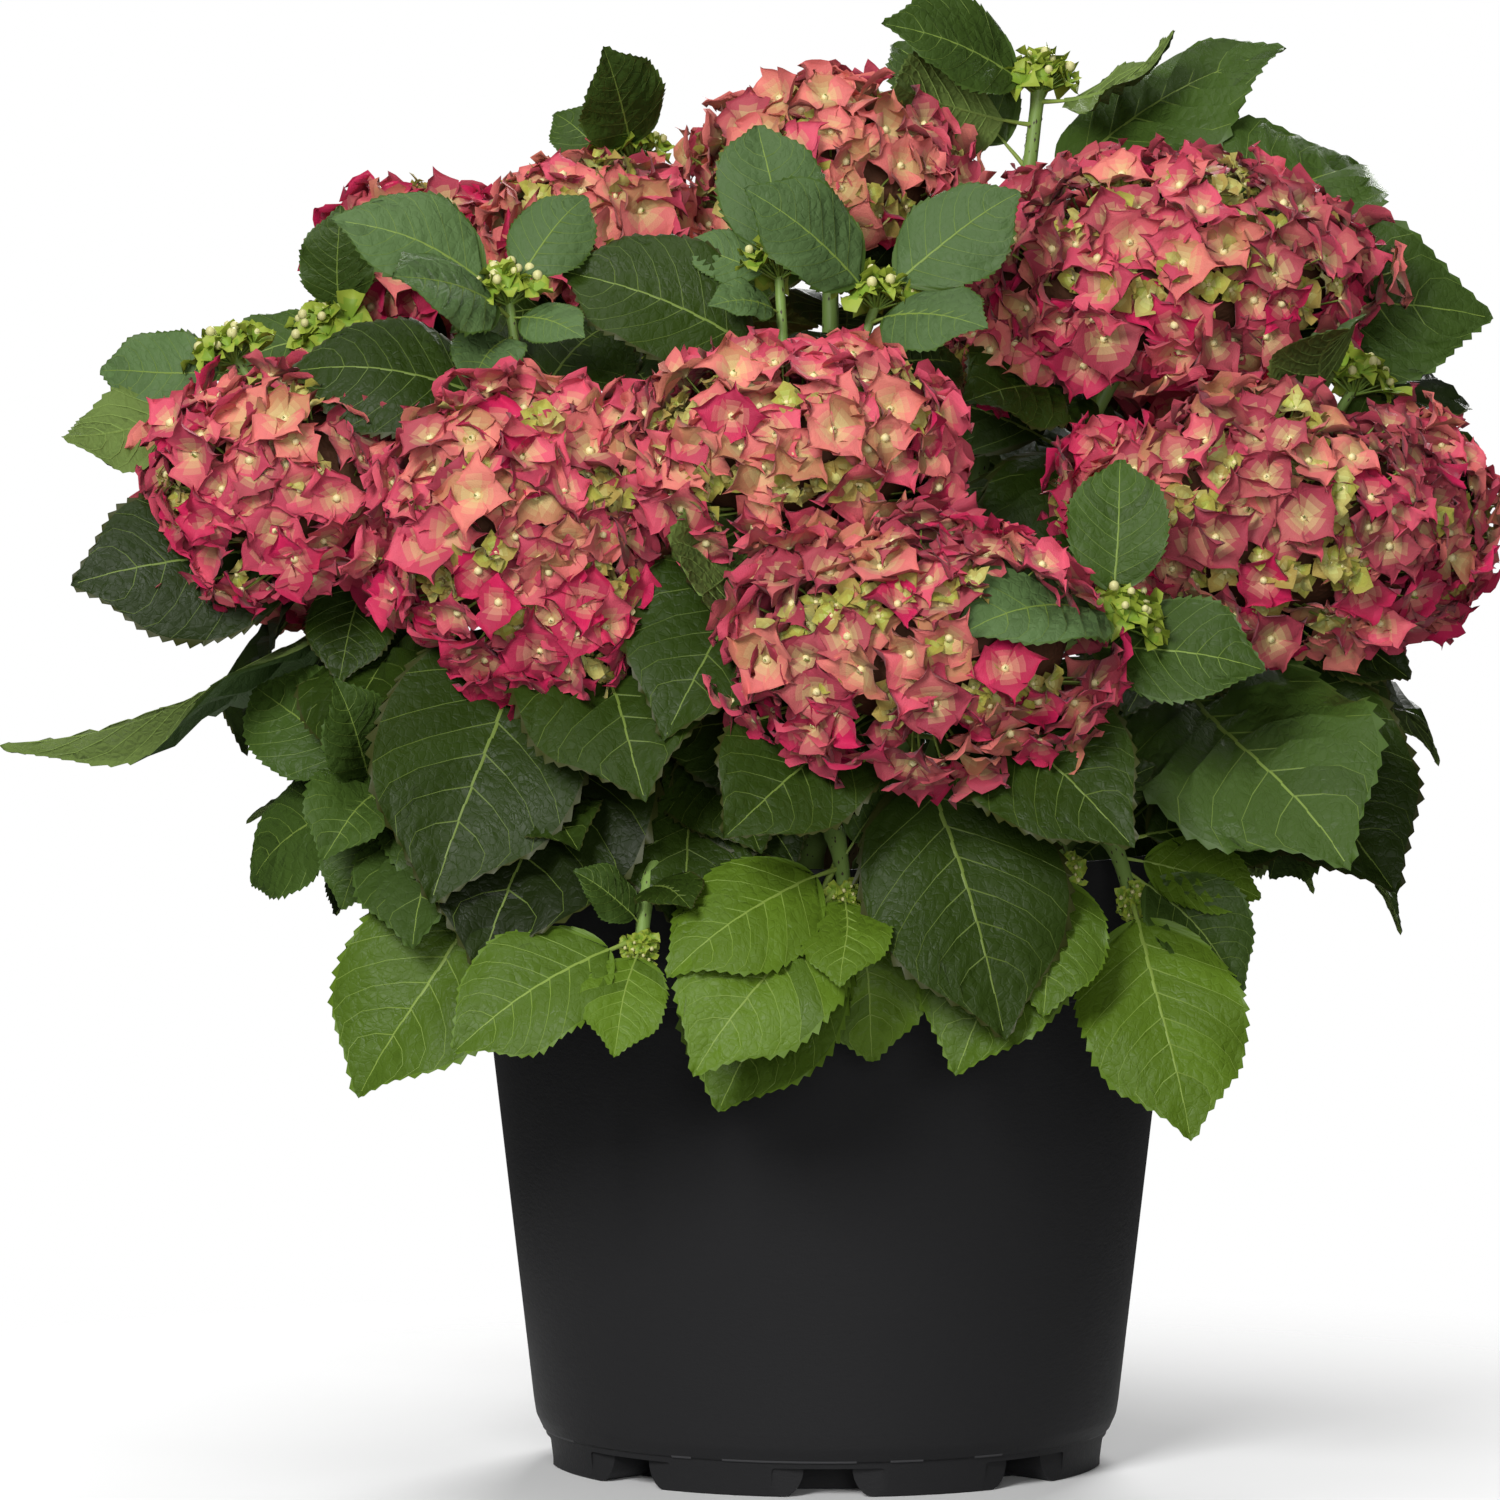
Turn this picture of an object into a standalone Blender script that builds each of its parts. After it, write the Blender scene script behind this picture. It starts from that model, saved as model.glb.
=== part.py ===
"""Hydrangea shrub in a nursery container.

Units are metres, +Z is up, and the origin is the middle of the pot's flat underside.
Every flowering or leafy shoot is one stem curve that starts in the soil. Its lower part is a bough,
its upper part carries the leaves and the mophead as one fused mass.
"""
from collections import namedtuple
from math import ceil, cos, degrees, pi, radians, sin, sqrt

import bmesh
import bpy
import numpy as np
from mathutils import Matrix, Vector
from mathutils.bvhtree import BVHTree

MM = 0.001
GAP = 0.0003
MERGE = 0.00001

# Pot: a tapered container with a wide rim band and a slightly smaller foot
POT_HEIGHT = 0.283
RIM_RADIUS = 0.175
RIM_FOOT_RADIUS = 0.1705
RIM_FOOT_HEIGHT = 0.2205
BODY_TOP_RADIUS = 0.1545
BODY_FOOT_RADIUS = 0.1323
BODY_FOOT_HEIGHT = 0.028
LEDGE_RADIUS = 0.1285
LEDGE_HEIGHT = 0.0155
FOOT_TOP_RADIUS = 0.1272
FOOT_RADIUS = 0.1252
POT_WALL = 0.0026
FLOOR_HEIGHT = 0.018
POT_SIDES = 32

# Drainage notches cut up into the foot, one of them at the front
NOTCHES = 8
NOTCH_HEIGHT = 0.013
NOTCH_RECESS_HALF_WIDTH = 0.0250
NOTCH_RECESS_DEPTH = 0.0040
NOTCH_TOP_HALF_WIDTH = 0.0108
NOTCH_FOOT_HALF_WIDTH = 0.0210
NOTCH_DEPTH = 0.030
CUT_MARGIN = 0.006

# Potting soil inside the pot
SOIL_TOP = 0.258
SOIL_CROWN = 0.004
SOIL_SIDES = 16

# Stems
STEM_SIDES = 5
RING_TURN = 16.0
TWIG_SIDES = 4
BOUGH_FOOT_RADIUS = 0.0070
BOUGH_TOP_RADIUS = 0.0052
SHOOT_FOOT_RADIUS = 0.0046
SHOOT_TOP_RADIUS = 0.0030
TWIG_FOOT_RADIUS = 0.0036
TWIG_TOP_RADIUS = 0.0022
TWIG_KNEE = 0.45
TWIG_LEAD = 0.10
ROOT_DEPTH = 0.3

# Leaves, in shares of their own length
LEAF_WIDTH = 0.70
PETIOLE = 0.17
PETIOLE_HALF_WIDTH = 0.016
LEAF_ARCH = 0.07
LEAF_FOLD = 0.10
LEAF_THICKNESS = 0.013
BLADE_STATIONS = (0.0, 0.28, 0.70)
GROWN_STATIONS = (0.24, 0.70)
WIDEST_SKEW = 0.72
BLADE_ROUNDNESS = 0.85
LEAF_ROOT = 0.018
LEAF_LEAN = 50.0

# Leaves that grow by rule: opposite pairs up a stem, and a whorl under a bud cluster
LEAF_LENGTH = 0.108
LEAF_PAIRS = (0.32, 0.60, 0.86)
PAIR_BEARING = 52.0
PAIR_TURN = 90.0
PAIR_SWAY = 16.0
PAIR_RISE = (-22.0, 14.0)
PAIR_REACH = (0.86, 1.12)
GROWN_LEAN = (20.0, 50.0)
RIM_DROOP = 26.0
BLOOM_DROOP = 14.0
WHORL_LEAVES = 4
WHORL_SHARE = 0.93
WHORL_SWAY = 0.12
WHORL_RISE = (-5.0, 32.0)
WHORL_REACH = (0.66, 0.86)

# Mopheads
CORE_SHARE = 0.86
CORE_RINGS = (0.84, 0.44, 0.02, -0.38)
CORE_SWELL = 0.05
FLORET_SPREAD = 0.94

# Bud clusters
BUD_RADIUS = 0.016
BUD_HEIGHT = 0.011
BUD_SWELL = (0.82, 1.16)

# Clearance between the masses, and the shifts a leaf or floret tries before it is left out
CLEARANCE = 0.0007
NUDGE_STEP = 0.013
NUDGES = sorted(
    ((lift * NUDGE_STEP, sway * NUDGE_STEP) for lift in range(-3, 4) for sway in range(-3, 4)),
    key=lambda nudge: (nudge[0] ** 2 + nudge[1] ** 2, nudge),
)
SEED = 11

Dome = namedtuple("Dome", "centre radii facing sides")
Twig = namedtuple("Twig", "at tip leaves")
Shoot = namedtuple("Shoot", "name foot knee tip part domes leaves pairs twigs")


def dome(x, y, z, wide, deep, high, facing, sides):
    """A mophead: centre and half sizes in millimetres, the way it faces, and its number of sides."""
    centre = Vector((x, y, z)) * MM
    return Dome(centre, Vector((wide, deep, high)) * MM, Vector(facing).normalized(), sides)


def bloom(name, foot, knee, domes, leaves=(), pairs=3, twigs=(), part=0.5):
    """A shoot that ends inside its first mophead."""
    return Shoot(name, foot, knee, None, part, domes, leaves, pairs, twigs)


def leafy(name, foot, knee, tip, leaves=(), pairs=3, part=0.42, twigs=()):
    """A shoot that ends in a cluster of buds."""
    return Shoot(name, foot, knee, tip, part, (), leaves, pairs, twigs)


# The plant. Feet are (x, y) on the soil, knees are the curve's middle control point.
# A leaf is (share up its stem, tip x, tip y, tip z), all in millimetres.
SHOOTS = (
    bloom(
        "left", (-62, -20), (-150, -38, 372),
        (dome(-236, -90, 446, 67, 60, 54, (-0.5, -0.45, 0.75), 10),),
        ((0.80, -333, -110, 406, 62), (0.55, -365, -60, 320, -22), (0.66, -216, -112, 361),
         (0.50, -237, -14, 352), (0.34, -262, 20, 372)),
        pairs=1,
        twigs=(Twig(0.52, (-266, -40, 503), ((0.90, -326, -20, 494, 66), (0.86, -339, -78, 466, 30))),),
    ),
    bloom(
        "mid_left", (-50, -46), (-104, -78, 376),
        (dome(-136, -160, 432, 60, 54, 66, (-0.15, -0.7, 0.7), 10),
         dome(-112, -178, 392, 34, 30, 38, (0.1, -0.85, 0.3), 8)),
        ((0.62, -173, -235, 296), (0.52, -78, -225, 301), (0.20, -152, -205, 240)),
        pairs=1,
        twigs=(
            Twig(0.45, (-141, -108, 532), (
                (0.97, -217, -118, 567), (0.92, -190, -168, 541), (0.98, -107, -84, 576),
                (0.92, -107, -140, 514), (0.86, -145, -160, 490), (0.62, -238, -128, 482),
                (0.60, -90, -50, 520))),
        ),
    ),
    bloom(
        "centre", (-16, -52), (-14, -80, 400),
        (dome(-15, -180, 464, 74, 60, 50, (0.0, -0.55, 0.83), 10),),
        ((0.66, -97, -238, 389), (0.80, -51, -246, 378), (0.44, 66, -150, 440)),
        pairs=1,
        twigs=(
            Twig(0.34, (-22, -96, 543), (
                (0.92, -31, -62, 606), (0.95, -64, -92, 553), (0.84, -52, -128, 528),
                (0.66, -117, -96, 542), (0.60, -69, -132, 498))),
            Twig(0.40, (22, -108, 530), (
                (0.97, -36, -130, 579), (0.97, 84, -100, 577), (0.90, 68, -166, 520),
                (0.72, 60, -70, 500))),
        ),
    ),
    bloom(
        "front", (12, -78), (32, -128, 330),
        (dome(38, -232, 386, 84, 50, 54, (0.05, -0.8, 0.6), 10),),
        ((0.38, 76, -236, 217), (0.66, 126, -274, 322), (0.60, -46, -252, 303),
         (0.20, -62, -150, 330)),
        pairs=1,
        twigs=(
            Twig(0.30, (129, -208, 396), (
                (0.93, 126, -186, 463), (0.90, 56, -276, 396), (0.70, 182, -232, 392))),
        ),
    ),
    bloom(
        "right_high", (26, 2), (92, -2, 440),
        (dome(152, -8, 535, 97, 82, 56, (0.25, -0.3, 0.92), 10),),
        ((0.55, 62, -84, 487), (0.82, 301, 10, 524), (0.80, 246, 84, 592),
         (0.40, 107, -140, 411), (0.62, 150, 100, 500), (0.34, 40, 60, 480)),
        pairs=1,
    ),
    bloom(
        "right_low", (64, -34), (142, -52, 356),
        (dome(196, -108, 430, 86, 66, 60, (0.45, -0.5, 0.7), 10),
         dome(262, -64, 430, 35, 36, 47, (0.85, -0.2, 0.5), 8)),
        ((0.20, 222, -222, 299), (0.36, 250, -130, 268), (0.50, 258, -60, 308),
         (0.72, 129, -182, 352), (0.74, 240, -140, 362), (0.86, 290, -40, 470)),
        pairs=1,
        twigs=(Twig(0.60, (236, -52, 490), ((0.80, 229, -125, 516), (0.85, 284, 20, 497))),),
    ),
    bloom(
        "top", (4, 34), (2, 40, 470),
        (dome(2, 60, 576, 66, 56, 47, (0.0, -0.1, 1.0), 10),),
        ((0.72, 70, 30, 540), (0.70, -62, 60, 535), (0.55, 10, 150, 500), (0.50, 0, -40, 478)),
        pairs=1,
    ),
    bloom(
        "top_left", (-26, 18), (-84, 22, 452),
        (dome(-106, 30, 556, 46, 44, 34, (-0.1, -0.2, 1.0), 8),),
        ((0.74, -160, -14, 540), (0.60, -90, 110, 520)),
        pairs=1,
        twigs=(Twig(0.50, (-88, 62, 590), ((0.97, -100, 12, 638, 60), (0.86, -140, 60, 588))),),
    ),
    bloom(
        "far_left", (-52, 30), (-122, 64, 452),
        (dome(-184, 92, 540, 48, 48, 36, (-0.5, 0.1, 0.9), 8),),
        ((0.62, -250, 140, 500), (0.50, -170, -2, 488), (0.72, -130, 150, 545)),
        pairs=1,
        twigs=(Twig(0.48, (-226, 48, 512), ((0.93, -220, 34, 566), (0.80, -280, 50, 490))),),
    ),
    bloom(
        "inner", (-34, -70), (-52, -96, 330),
        (dome(-70, -140, 372, 34, 30, 24, (-0.1, -0.7, 0.7), 6),),
        ((0.50, -20, -205, 318), (0.30, -63, -205, 262), (0.40, -120, -120, 330)),
        pairs=1,
    ),
    bloom(
        "back_left", (-52, 66), (-120, 120, 380),
        (dome(-176, 186, 456, 72, 66, 52, (-0.55, 0.6, 0.6), 10),),
        pairs=3,
    ),
    bloom(
        "back", (-8, 84), (-14, 150, 350),
        (dome(-20, 236, 420, 80, 62, 54, (0.0, 0.8, 0.6), 10),),
        pairs=3,
        twigs=(Twig(0.40, (-80, 214, 512), ()),),
    ),
    bloom(
        "back_right", (44, 62), (96, 118, 400),
        (dome(142, 186, 462, 74, 66, 52, (0.4, 0.65, 0.65), 10),),
        pairs=3,
        twigs=(Twig(0.42, (60, 190, 540), ()),),
    ),
    bloom(
        "side_right", (78, 22), (154, 44, 350),
        (dome(226, 76, 414, 54, 62, 46, (0.85, 0.25, 0.5), 8),),
        pairs=3,
    ),
    bloom(
        "side_left", (-84, 18), (-158, 46, 350),
        (dome(-232, 66, 424, 50, 58, 42, (-0.85, 0.15, 0.5), 8),),
        pairs=3,
    ),
    leafy(
        "high_right", (10, 12), (78, 84, 430), (98, 100, 622),
        ((0.97, 27, 62, 650), (0.90, 36, 40, 628), (0.95, 160, 52, 641), (0.70, 208, 92, 641, 30),
         (0.80, 15, 118, 626), (0.62, 150, 160, 560)),
        pairs=1, part=0.46,
    ),
    leafy(
        "middle", (-36, -6), (-70, -14, 420), (-92, -30, 500),
        pairs=2,
    ),
    leafy(
        "low_left", (-92, -46), (-160, -96, 336), (-203, -120, 312),
        ((0.90, -262, -90, 366, 80), (0.97, -214, -152, 363), (0.86, -262, -70, 270),
         (0.80, -215, -128, 262), (0.60, -160, -172, 272), (0.70, -240, -160, 300)),
        pairs=1,
    ),
    leafy(
        "rim_left", (-84, -68), (-118, -126, 340), (-136, -148, 292),
        ((0.95, -207, -176, 185), (0.60, -216, -110, 262), (0.80, -110, -214, 300)),
        pairs=0,
    ),
    leafy(
        "rim_front_left", (-58, -92), (-74, -162, 342), (-82, -204, 250),
        ((0.94, -163, -230, 210), (0.97, -93, -246, 209), (0.90, -110, -212, 286),
         (0.72, -52, -232, 282)),
        pairs=0,
    ),
    leafy(
        "rim_front", (-14, -104), (0, -168, 340), (7, -200, 272),
        ((0.90, -59, -256, 206), (0.97, 4, -254, 240), (0.80, -78, -228, 246),
         (0.72, -48, -206, 180), (0.66, 22, -212, 204), (0.76, 40, -176, 330)),
        pairs=0,
    ),
    leafy(
        "rim_front_right", (60, -86), (92, -150, 338), (103, -178, 282),
        ((0.90, 92, -226, 224), (0.80, 54, -212, 198), (0.72, 128, -200, 330)),
        pairs=0,
    ),
    leafy(
        "rim_right", (86, -66), (118, -130, 336), (132, -158, 268),
        ((0.90, 157, -216, 173), (0.80, 184, -172, 234), (0.72, 190, -150, 270),
         (0.60, 206, -100, 300)),
        pairs=0,
    ),
    leafy("rim_side_right", (108, 12), (176, 30, 345), (196, 34, 302), pairs=2),
    leafy("rim_back_right", (82, 84), (130, 142, 345), (150, 162, 300), pairs=2),
    leafy("rim_back", (4, 118), (8, 186, 345), (10, 216, 296), pairs=2),
    leafy("rim_back_left", (-82, 86), (-128, 136, 345), (-152, 160, 296), pairs=2),
    leafy("rim_side_left", (-112, 4), (-172, 6, 345), (-194, 8, 302), pairs=2),
)


# ---------------------------------------------------------------- scene and materials

def clear_scene():
    for item in list(bpy.data.objects):
        bpy.data.objects.remove(item, do_unlink=True)


def make_material(name, color, roughness):
    material = bpy.data.materials.new(name)
    material.use_nodes = True
    shader = material.node_tree.nodes["Principled BSDF"]
    shader.inputs["Base Color"].default_value = (*color, 1.0)
    shader.inputs["Roughness"].default_value = roughness
    shader.inputs["Metallic"].default_value = 0.0
    material.diffuse_color = (*color, 1.0)
    return material


def add_object(name, mesh, *materials):
    for material in materials:
        mesh.materials.append(material)
    item = bpy.data.objects.new(name, mesh)
    bpy.context.scene.collection.objects.link(item)
    return item


def mesh_from(name, points, faces):
    """A mesh whose faces all point outward."""
    mesh = bpy.data.meshes.new(name)
    mesh.from_pydata([tuple(point) for point in points], [], faces)
    shell = bmesh.new()
    shell.from_mesh(mesh)
    bmesh.ops.recalc_face_normals(shell, faces=shell.faces)
    shell.to_mesh(mesh)
    shell.free()
    return mesh


# ---------------------------------------------------------------- pot and soil

def turned(name, profile, sides):
    """A closed turned shell. The profile runs from axis to axis, as (radius, height)."""
    points = []
    rings = []
    for radius, height in profile:
        if radius == 0.0:
            rings.append([len(points)])
            points.append((0.0, 0.0, height))
            continue
        rings.append(list(range(len(points), len(points) + sides)))
        for step in range(sides):
            angle = 2.0 * pi * (step + 0.5) / sides
            points.append((radius * cos(angle), radius * sin(angle), height))
    faces = []
    for low, high in zip(rings, rings[1:]):
        for step in range(sides):
            after = (step + 1) % sides
            if len(low) == 1:
                faces.append((low[0], high[step], high[after]))
            elif len(high) == 1:
                faces.append((low[after], low[step], high[0]))
            else:
                faces.append((low[after], low[step], high[step], high[after]))
    return mesh_from(name, points, faces)


def inner_radius(height):
    """Radius of the pot's inside wall at a height below the rim band."""
    share = (height - BODY_FOOT_HEIGHT) / (RIM_FOOT_HEIGHT - BODY_FOOT_HEIGHT)
    return BODY_FOOT_RADIUS + share * (BODY_TOP_RADIUS - BODY_FOOT_RADIUS) - POT_WALL


def pot_profile():
    step = RIM_FOOT_HEIGHT + POT_WALL
    return (
        (0.0, 0.0),
        (FOOT_RADIUS, 0.0),
        (FOOT_TOP_RADIUS, LEDGE_HEIGHT),
        (LEDGE_RADIUS, LEDGE_HEIGHT + 0.0006),
        (BODY_FOOT_RADIUS - 0.0010, BODY_FOOT_HEIGHT - 0.0060),
        (BODY_FOOT_RADIUS, BODY_FOOT_HEIGHT),
        (BODY_TOP_RADIUS, RIM_FOOT_HEIGHT),
        (RIM_FOOT_RADIUS, RIM_FOOT_HEIGHT),
        (RIM_RADIUS, POT_HEIGHT),
        (RIM_RADIUS - POT_WALL, POT_HEIGHT),
        (RIM_FOOT_RADIUS - POT_WALL, step),
        (inner_radius(step), step),
        (inner_radius(FLOOR_HEIGHT), FLOOR_HEIGHT),
        (0.0, FLOOR_HEIGHT),
    )


def notch_cutters(name, outline, depth):
    """Prisms that cut radially into the foot, one for each notch. The outline is (across, height)."""
    outer = FOOT_TOP_RADIUS + CUT_MARGIN
    inner = FOOT_TOP_RADIUS - depth
    corners = len(outline)
    points = []
    faces = []
    for notch in range(NOTCHES):
        turn = Matrix.Rotation(2.0 * pi * notch / NOTCHES - pi / 2.0, 4, "Z")
        first = len(points)
        for radius in (inner, outer):
            points.extend(turn @ Vector((radius, across, height)) for across, height in outline)
        faces.append(tuple(first + corner for corner in range(corners)))
        faces.append(tuple(first + corners + corner for corner in reversed(range(corners))))
        for corner in range(corners):
            after = (corner + 1) % corners
            faces.append((
                first + corner, first + corners + corner,
                first + corners + after, first + after,
            ))
    cutter = add_object(name, mesh_from(name, points, faces))
    cutter.hide_render = True
    cutter.display_type = "WIRE"
    return cutter


def recess_outline():
    half = NOTCH_RECESS_HALF_WIDTH
    return ((-half, -CUT_MARGIN), (half, -CUT_MARGIN), (half, NOTCH_HEIGHT), (-half, NOTCH_HEIGHT))


def channel_outline(steps=3):
    """An opening with rounded cheeks, wider at the ground than at its top."""
    flare = NOTCH_FOOT_HALF_WIDTH - NOTCH_TOP_HALF_WIDTH
    right = [(NOTCH_FOOT_HALF_WIDTH, -CUT_MARGIN)]
    for step in range(steps + 1):
        angle = 0.5 * pi * step / steps
        right.append((NOTCH_FOOT_HALF_WIDTH - flare * sin(angle), NOTCH_HEIGHT * (1.0 - cos(angle))))
    left = [(-across, height) for across, height in reversed(right)]
    return tuple(right + left)


def build_pot(material):
    pot = add_object("pot", turned("pot", pot_profile(), POT_SIDES), material)
    for name, outline, depth in (
        ("notch_recess", recess_outline(), NOTCH_RECESS_DEPTH),
        ("notch_channel", channel_outline(), NOTCH_DEPTH),
    ):
        cut = pot.modifiers.new(name, "BOOLEAN")
        cut.operation = "DIFFERENCE"
        cut.solver = "EXACT"
        cut.object = notch_cutters(name, outline, depth)
    return pot


def build_soil(material):
    """The soil fills the pot. Its corners stay inside the flats of the pot's wall."""
    step = RIM_FOOT_HEIGHT + POT_WALL
    foot = FLOOR_HEIGHT + GAP
    rim = RIM_FOOT_RADIUS - POT_WALL
    top = SOIL_TOP - SOIL_CROWN
    spread = (RIM_RADIUS - RIM_FOOT_RADIUS) * (top - step) / (POT_HEIGHT - step)
    profile = (
        (0.0, foot),
        (inner_radius(foot), foot),
        (inner_radius(step), step + 2.0 * GAP),
        (rim, step + 2.0 * GAP),
        (rim + spread, top),
        (rim * 0.66, SOIL_TOP),
        (0.0, SOIL_TOP),
    )
    flat = cos(pi / POT_SIDES)
    inset = [(max(0.0, radius * flat - 2.0 * GAP), height) for radius, height in profile]
    return add_object("soil", turned("soil", inset, SOIL_SIDES), material)


# ---------------------------------------------------------------- stems

def bend(start, knee, end, share):
    """A point on the smooth curve from start to end that leans towards the knee."""
    rest = 1.0 - share
    return start * (rest * rest) + knee * (2.0 * rest * share) + end * (share * share)


def heading(start, knee, end, share):
    """The way the curve runs at a point, as long as the curve is fast there."""
    return ((knee - start) * (1.0 - share) + (end - knee) * share) * 2.0


def tube(name, path, first_radius, last_radius, sides=STEM_SIDES):
    """A tapering round limb with flat ends along a list of points and the ways it runs there."""
    points = []
    faces = []
    count = len(path)
    reference = Vector((0.31, 0.95, 0.05)).normalized()
    for step, (centre, ahead) in enumerate(path):
        across = reference.cross(ahead).normalized()
        up = ahead.cross(across)
        radius = first_radius + (last_radius - first_radius) * step / (count - 1)
        for side in range(sides):
            angle = 2.0 * pi * side / sides
            points.append(centre + (across * cos(angle) + up * sin(angle)) * radius)
    for step in range(count - 1):
        for side in range(sides):
            after = (side + 1) % sides
            low = step * sides
            high = low + sides
            faces.append((low + side, low + after, high + after, high + side))
    faces.append(tuple(range(sides - 1, -1, -1)))
    faces.append(tuple(range((count - 1) * sides, count * sides)))
    return mesh_from(name, points, faces)


def stem_curve(shoot):
    """The three points that shape a shoot's stem."""
    foot = Vector((shoot.foot[0] * MM, shoot.foot[1] * MM, SOIL_TOP + GAP))
    knee = Vector(shoot.knee) * MM
    if shoot.domes:
        top = shoot.domes[0]
        depth = sqrt(sum((top.radii[axis] * top.facing[axis]) ** 2 for axis in range(3)))
        return foot, knee, top.centre - top.facing * depth * CORE_SHARE * ROOT_DEPTH
    return foot, knee, Vector(shoot.tip) * MM


def curve_path(curve, start, end):
    """Points along a stretch of a curve, closer where it bends, and the ways it runs there."""
    turn = degrees(heading(*curve, start).angle(heading(*curve, end)))
    steps = max(2, ceil(turn / RING_TURN))
    shares = [start + (end - start) * step / steps for step in range(steps + 1)]
    return [(bend(*curve, share), heading(*curve, share).normalized()) for share in shares]


def twig_curve(shoot_curve, start, twig):
    """A twig leaves its stem along the stem's own way and turns up to its tip."""
    share = start + (1.0 - start) * twig.at
    foot = bend(*shoot_curve, share)
    ahead = heading(*shoot_curve, share).normalized()
    tip = Vector(twig.tip) * MM
    knee = foot.lerp(tip, TWIG_KNEE) + ahead * TWIG_LEAD * (tip - foot).length
    return foot, knee, tip


# ---------------------------------------------------------------- leaves

def blade_width(along):
    """Half width of a blade as a share of the widest, from its base at 0 to its tip at 1."""
    return max(0.0, sin(pi * along ** WIDEST_SKEW)) ** BLADE_ROUNDNESS


def leaf_frame(node, tip, light):
    """A leaf's length, its direction, the way its upper side faces, and its side direction."""
    chord = tip - node
    along = chord.normalized()
    face = (light - along * light.dot(along)).normalized()
    return chord.length, along, face, along.cross(face)


def leaf_mesh(node, tip, light, stations, extra=0.0, root=0.0):
    """A closed three-sided leaf: two edges and a keel below. Its stalk starts inside the stem."""
    length, along, face, side = leaf_frame(node, tip, light)
    half = 0.5 * LEAF_WIDTH * length * (1.0 - PETIOLE)
    thick = LEAF_THICKNESS * length + extra

    def section(share, half_width):
        spine = node + along * (length * share) + face * (LEAF_ARCH * length * 4.0 * share * (1.0 - share))
        rise = face * (LEAF_FOLD * half_width + 0.5 * extra)
        reach = side * (half_width + extra)
        return [spine - reach + rise, spine + reach + rise, spine - face * thick]

    stalk = PETIOLE_HALF_WIDTH * length
    points = section(root, stalk)
    for station in stations:
        share = PETIOLE + (1.0 - PETIOLE) * station
        points += section(share, max(half * blade_width(station), stalk))
    last = len(stations)
    points.append(tip + along * extra)
    faces = [(0, 1, 2)]
    for step in range(last):
        low = 3 * step
        for side_index in range(3):
            after = (side_index + 1) % 3
            faces.append((low + side_index, low + after, low + 3 + after))
            faces.append((low + side_index, low + 3 + after, low + 3 + side_index))
    low = 3 * last
    faces += [(low, low + 1, low + 3), (low + 1, low + 2, low + 3), (low + 2, low, low + 3)]
    return mesh_from("leaf", points, faces)


def leaning_light(lean, towards):
    """The way a leaf turns its face: up, tilted by so many degrees towards a direction."""
    tilt = radians(lean)
    return Vector((0.0, 0.0, cos(tilt))) + towards * sin(tilt)


def set_leaf(curve, start, leaf):
    """A leaf set by hand: it turns its face up and to the front."""
    share, x, y, z, *lean = leaf
    node = bend(*curve, start + (1.0 - start) * share)
    light = leaning_light(lean[0] if lean else LEAF_LEAN, Vector((0.0, -1.0, 0.0)))
    return node, Vector((x, y, z)) * MM, light, BLADE_STATIONS


def grown_leaf(node, turn, rise, reach, random):
    """A leaf that grows from a node by bearing, rise and length, and faces up and outward."""
    way = Vector((cos(rise) * cos(turn), cos(rise) * sin(turn), sin(rise)))
    tip = node + way * reach
    outward = Vector((tip.x, tip.y, 0.0)).normalized()
    return node, tip, leaning_light(random.uniform(*GROWN_LEAN), outward), GROWN_STATIONS


def pair_leaves(curve, start, pairs, droop, random):
    """Leaves in opposite pairs up a stem, each pair a quarter turn from the one before."""
    leaves = []
    for pair in range(pairs):
        share = start + (1.0 - start) * LEAF_PAIRS[pair]
        node = bend(*curve, share)
        outward = Vector((curve[2].x - curve[0].x, curve[2].y - curve[0].y))
        bearing = outward.angle_signed(Vector((1.0, 0.0))) + radians(PAIR_BEARING + PAIR_TURN * pair)
        for way in (0.0, pi):
            turn = bearing + way + radians(random.uniform(-PAIR_SWAY, PAIR_SWAY))
            rise = radians(random.uniform(*PAIR_RISE) - droop)
            reach = LEAF_LENGTH * random.uniform(*PAIR_REACH)
            leaves.append(grown_leaf(node, turn, rise, reach, random))
    return leaves


def whorl_leaves(curve, droop, random):
    """A whorl of leaves under a bud cluster."""
    leaves = []
    node = bend(*curve, WHORL_SHARE)
    for leaf in range(WHORL_LEAVES):
        turn = 2.0 * pi * (leaf + random.uniform(-WHORL_SWAY, WHORL_SWAY)) / WHORL_LEAVES
        rise = radians(random.uniform(*WHORL_RISE) - droop)
        reach = LEAF_LENGTH * random.uniform(*WHORL_REACH)
        leaves.append(grown_leaf(node, turn, rise, reach, random))
    return leaves


# ---------------------------------------------------------------- blooms and buds

def head_rings(top, random):
    """The points of a mophead's lumpy inner body: its crown, its rings downward, and its foot."""
    side = top.facing.orthogonal().normalized()
    other = top.facing.cross(side)

    def point(way, share):
        return top.centre + Vector(way[axis] * top.radii[axis] for axis in range(3)) * share

    rings = []
    for rise in CORE_RINGS:
        ring = []
        for step in range(top.sides):
            angle = 2.0 * pi * step / top.sides
            way = top.facing * rise + (side * cos(angle) + other * sin(angle)) * sqrt(1.0 - rise * rise)
            ring.append(point(way, CORE_SHARE * random.uniform(1.0 - CORE_SWELL, 1.0 + CORE_SWELL)))
        rings.append(ring)
    return point(top.facing, CORE_SHARE), rings, point(top.facing * CORE_RINGS[-1], CORE_SHARE)


def floret_cells(top):
    """Every other cell of the mophead, as (band, step)."""
    bands = range(len(CORE_RINGS) - 1)
    return [(band, step) for band in bands for step in range(top.sides) if (band + step) % 2 == 0]


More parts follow.
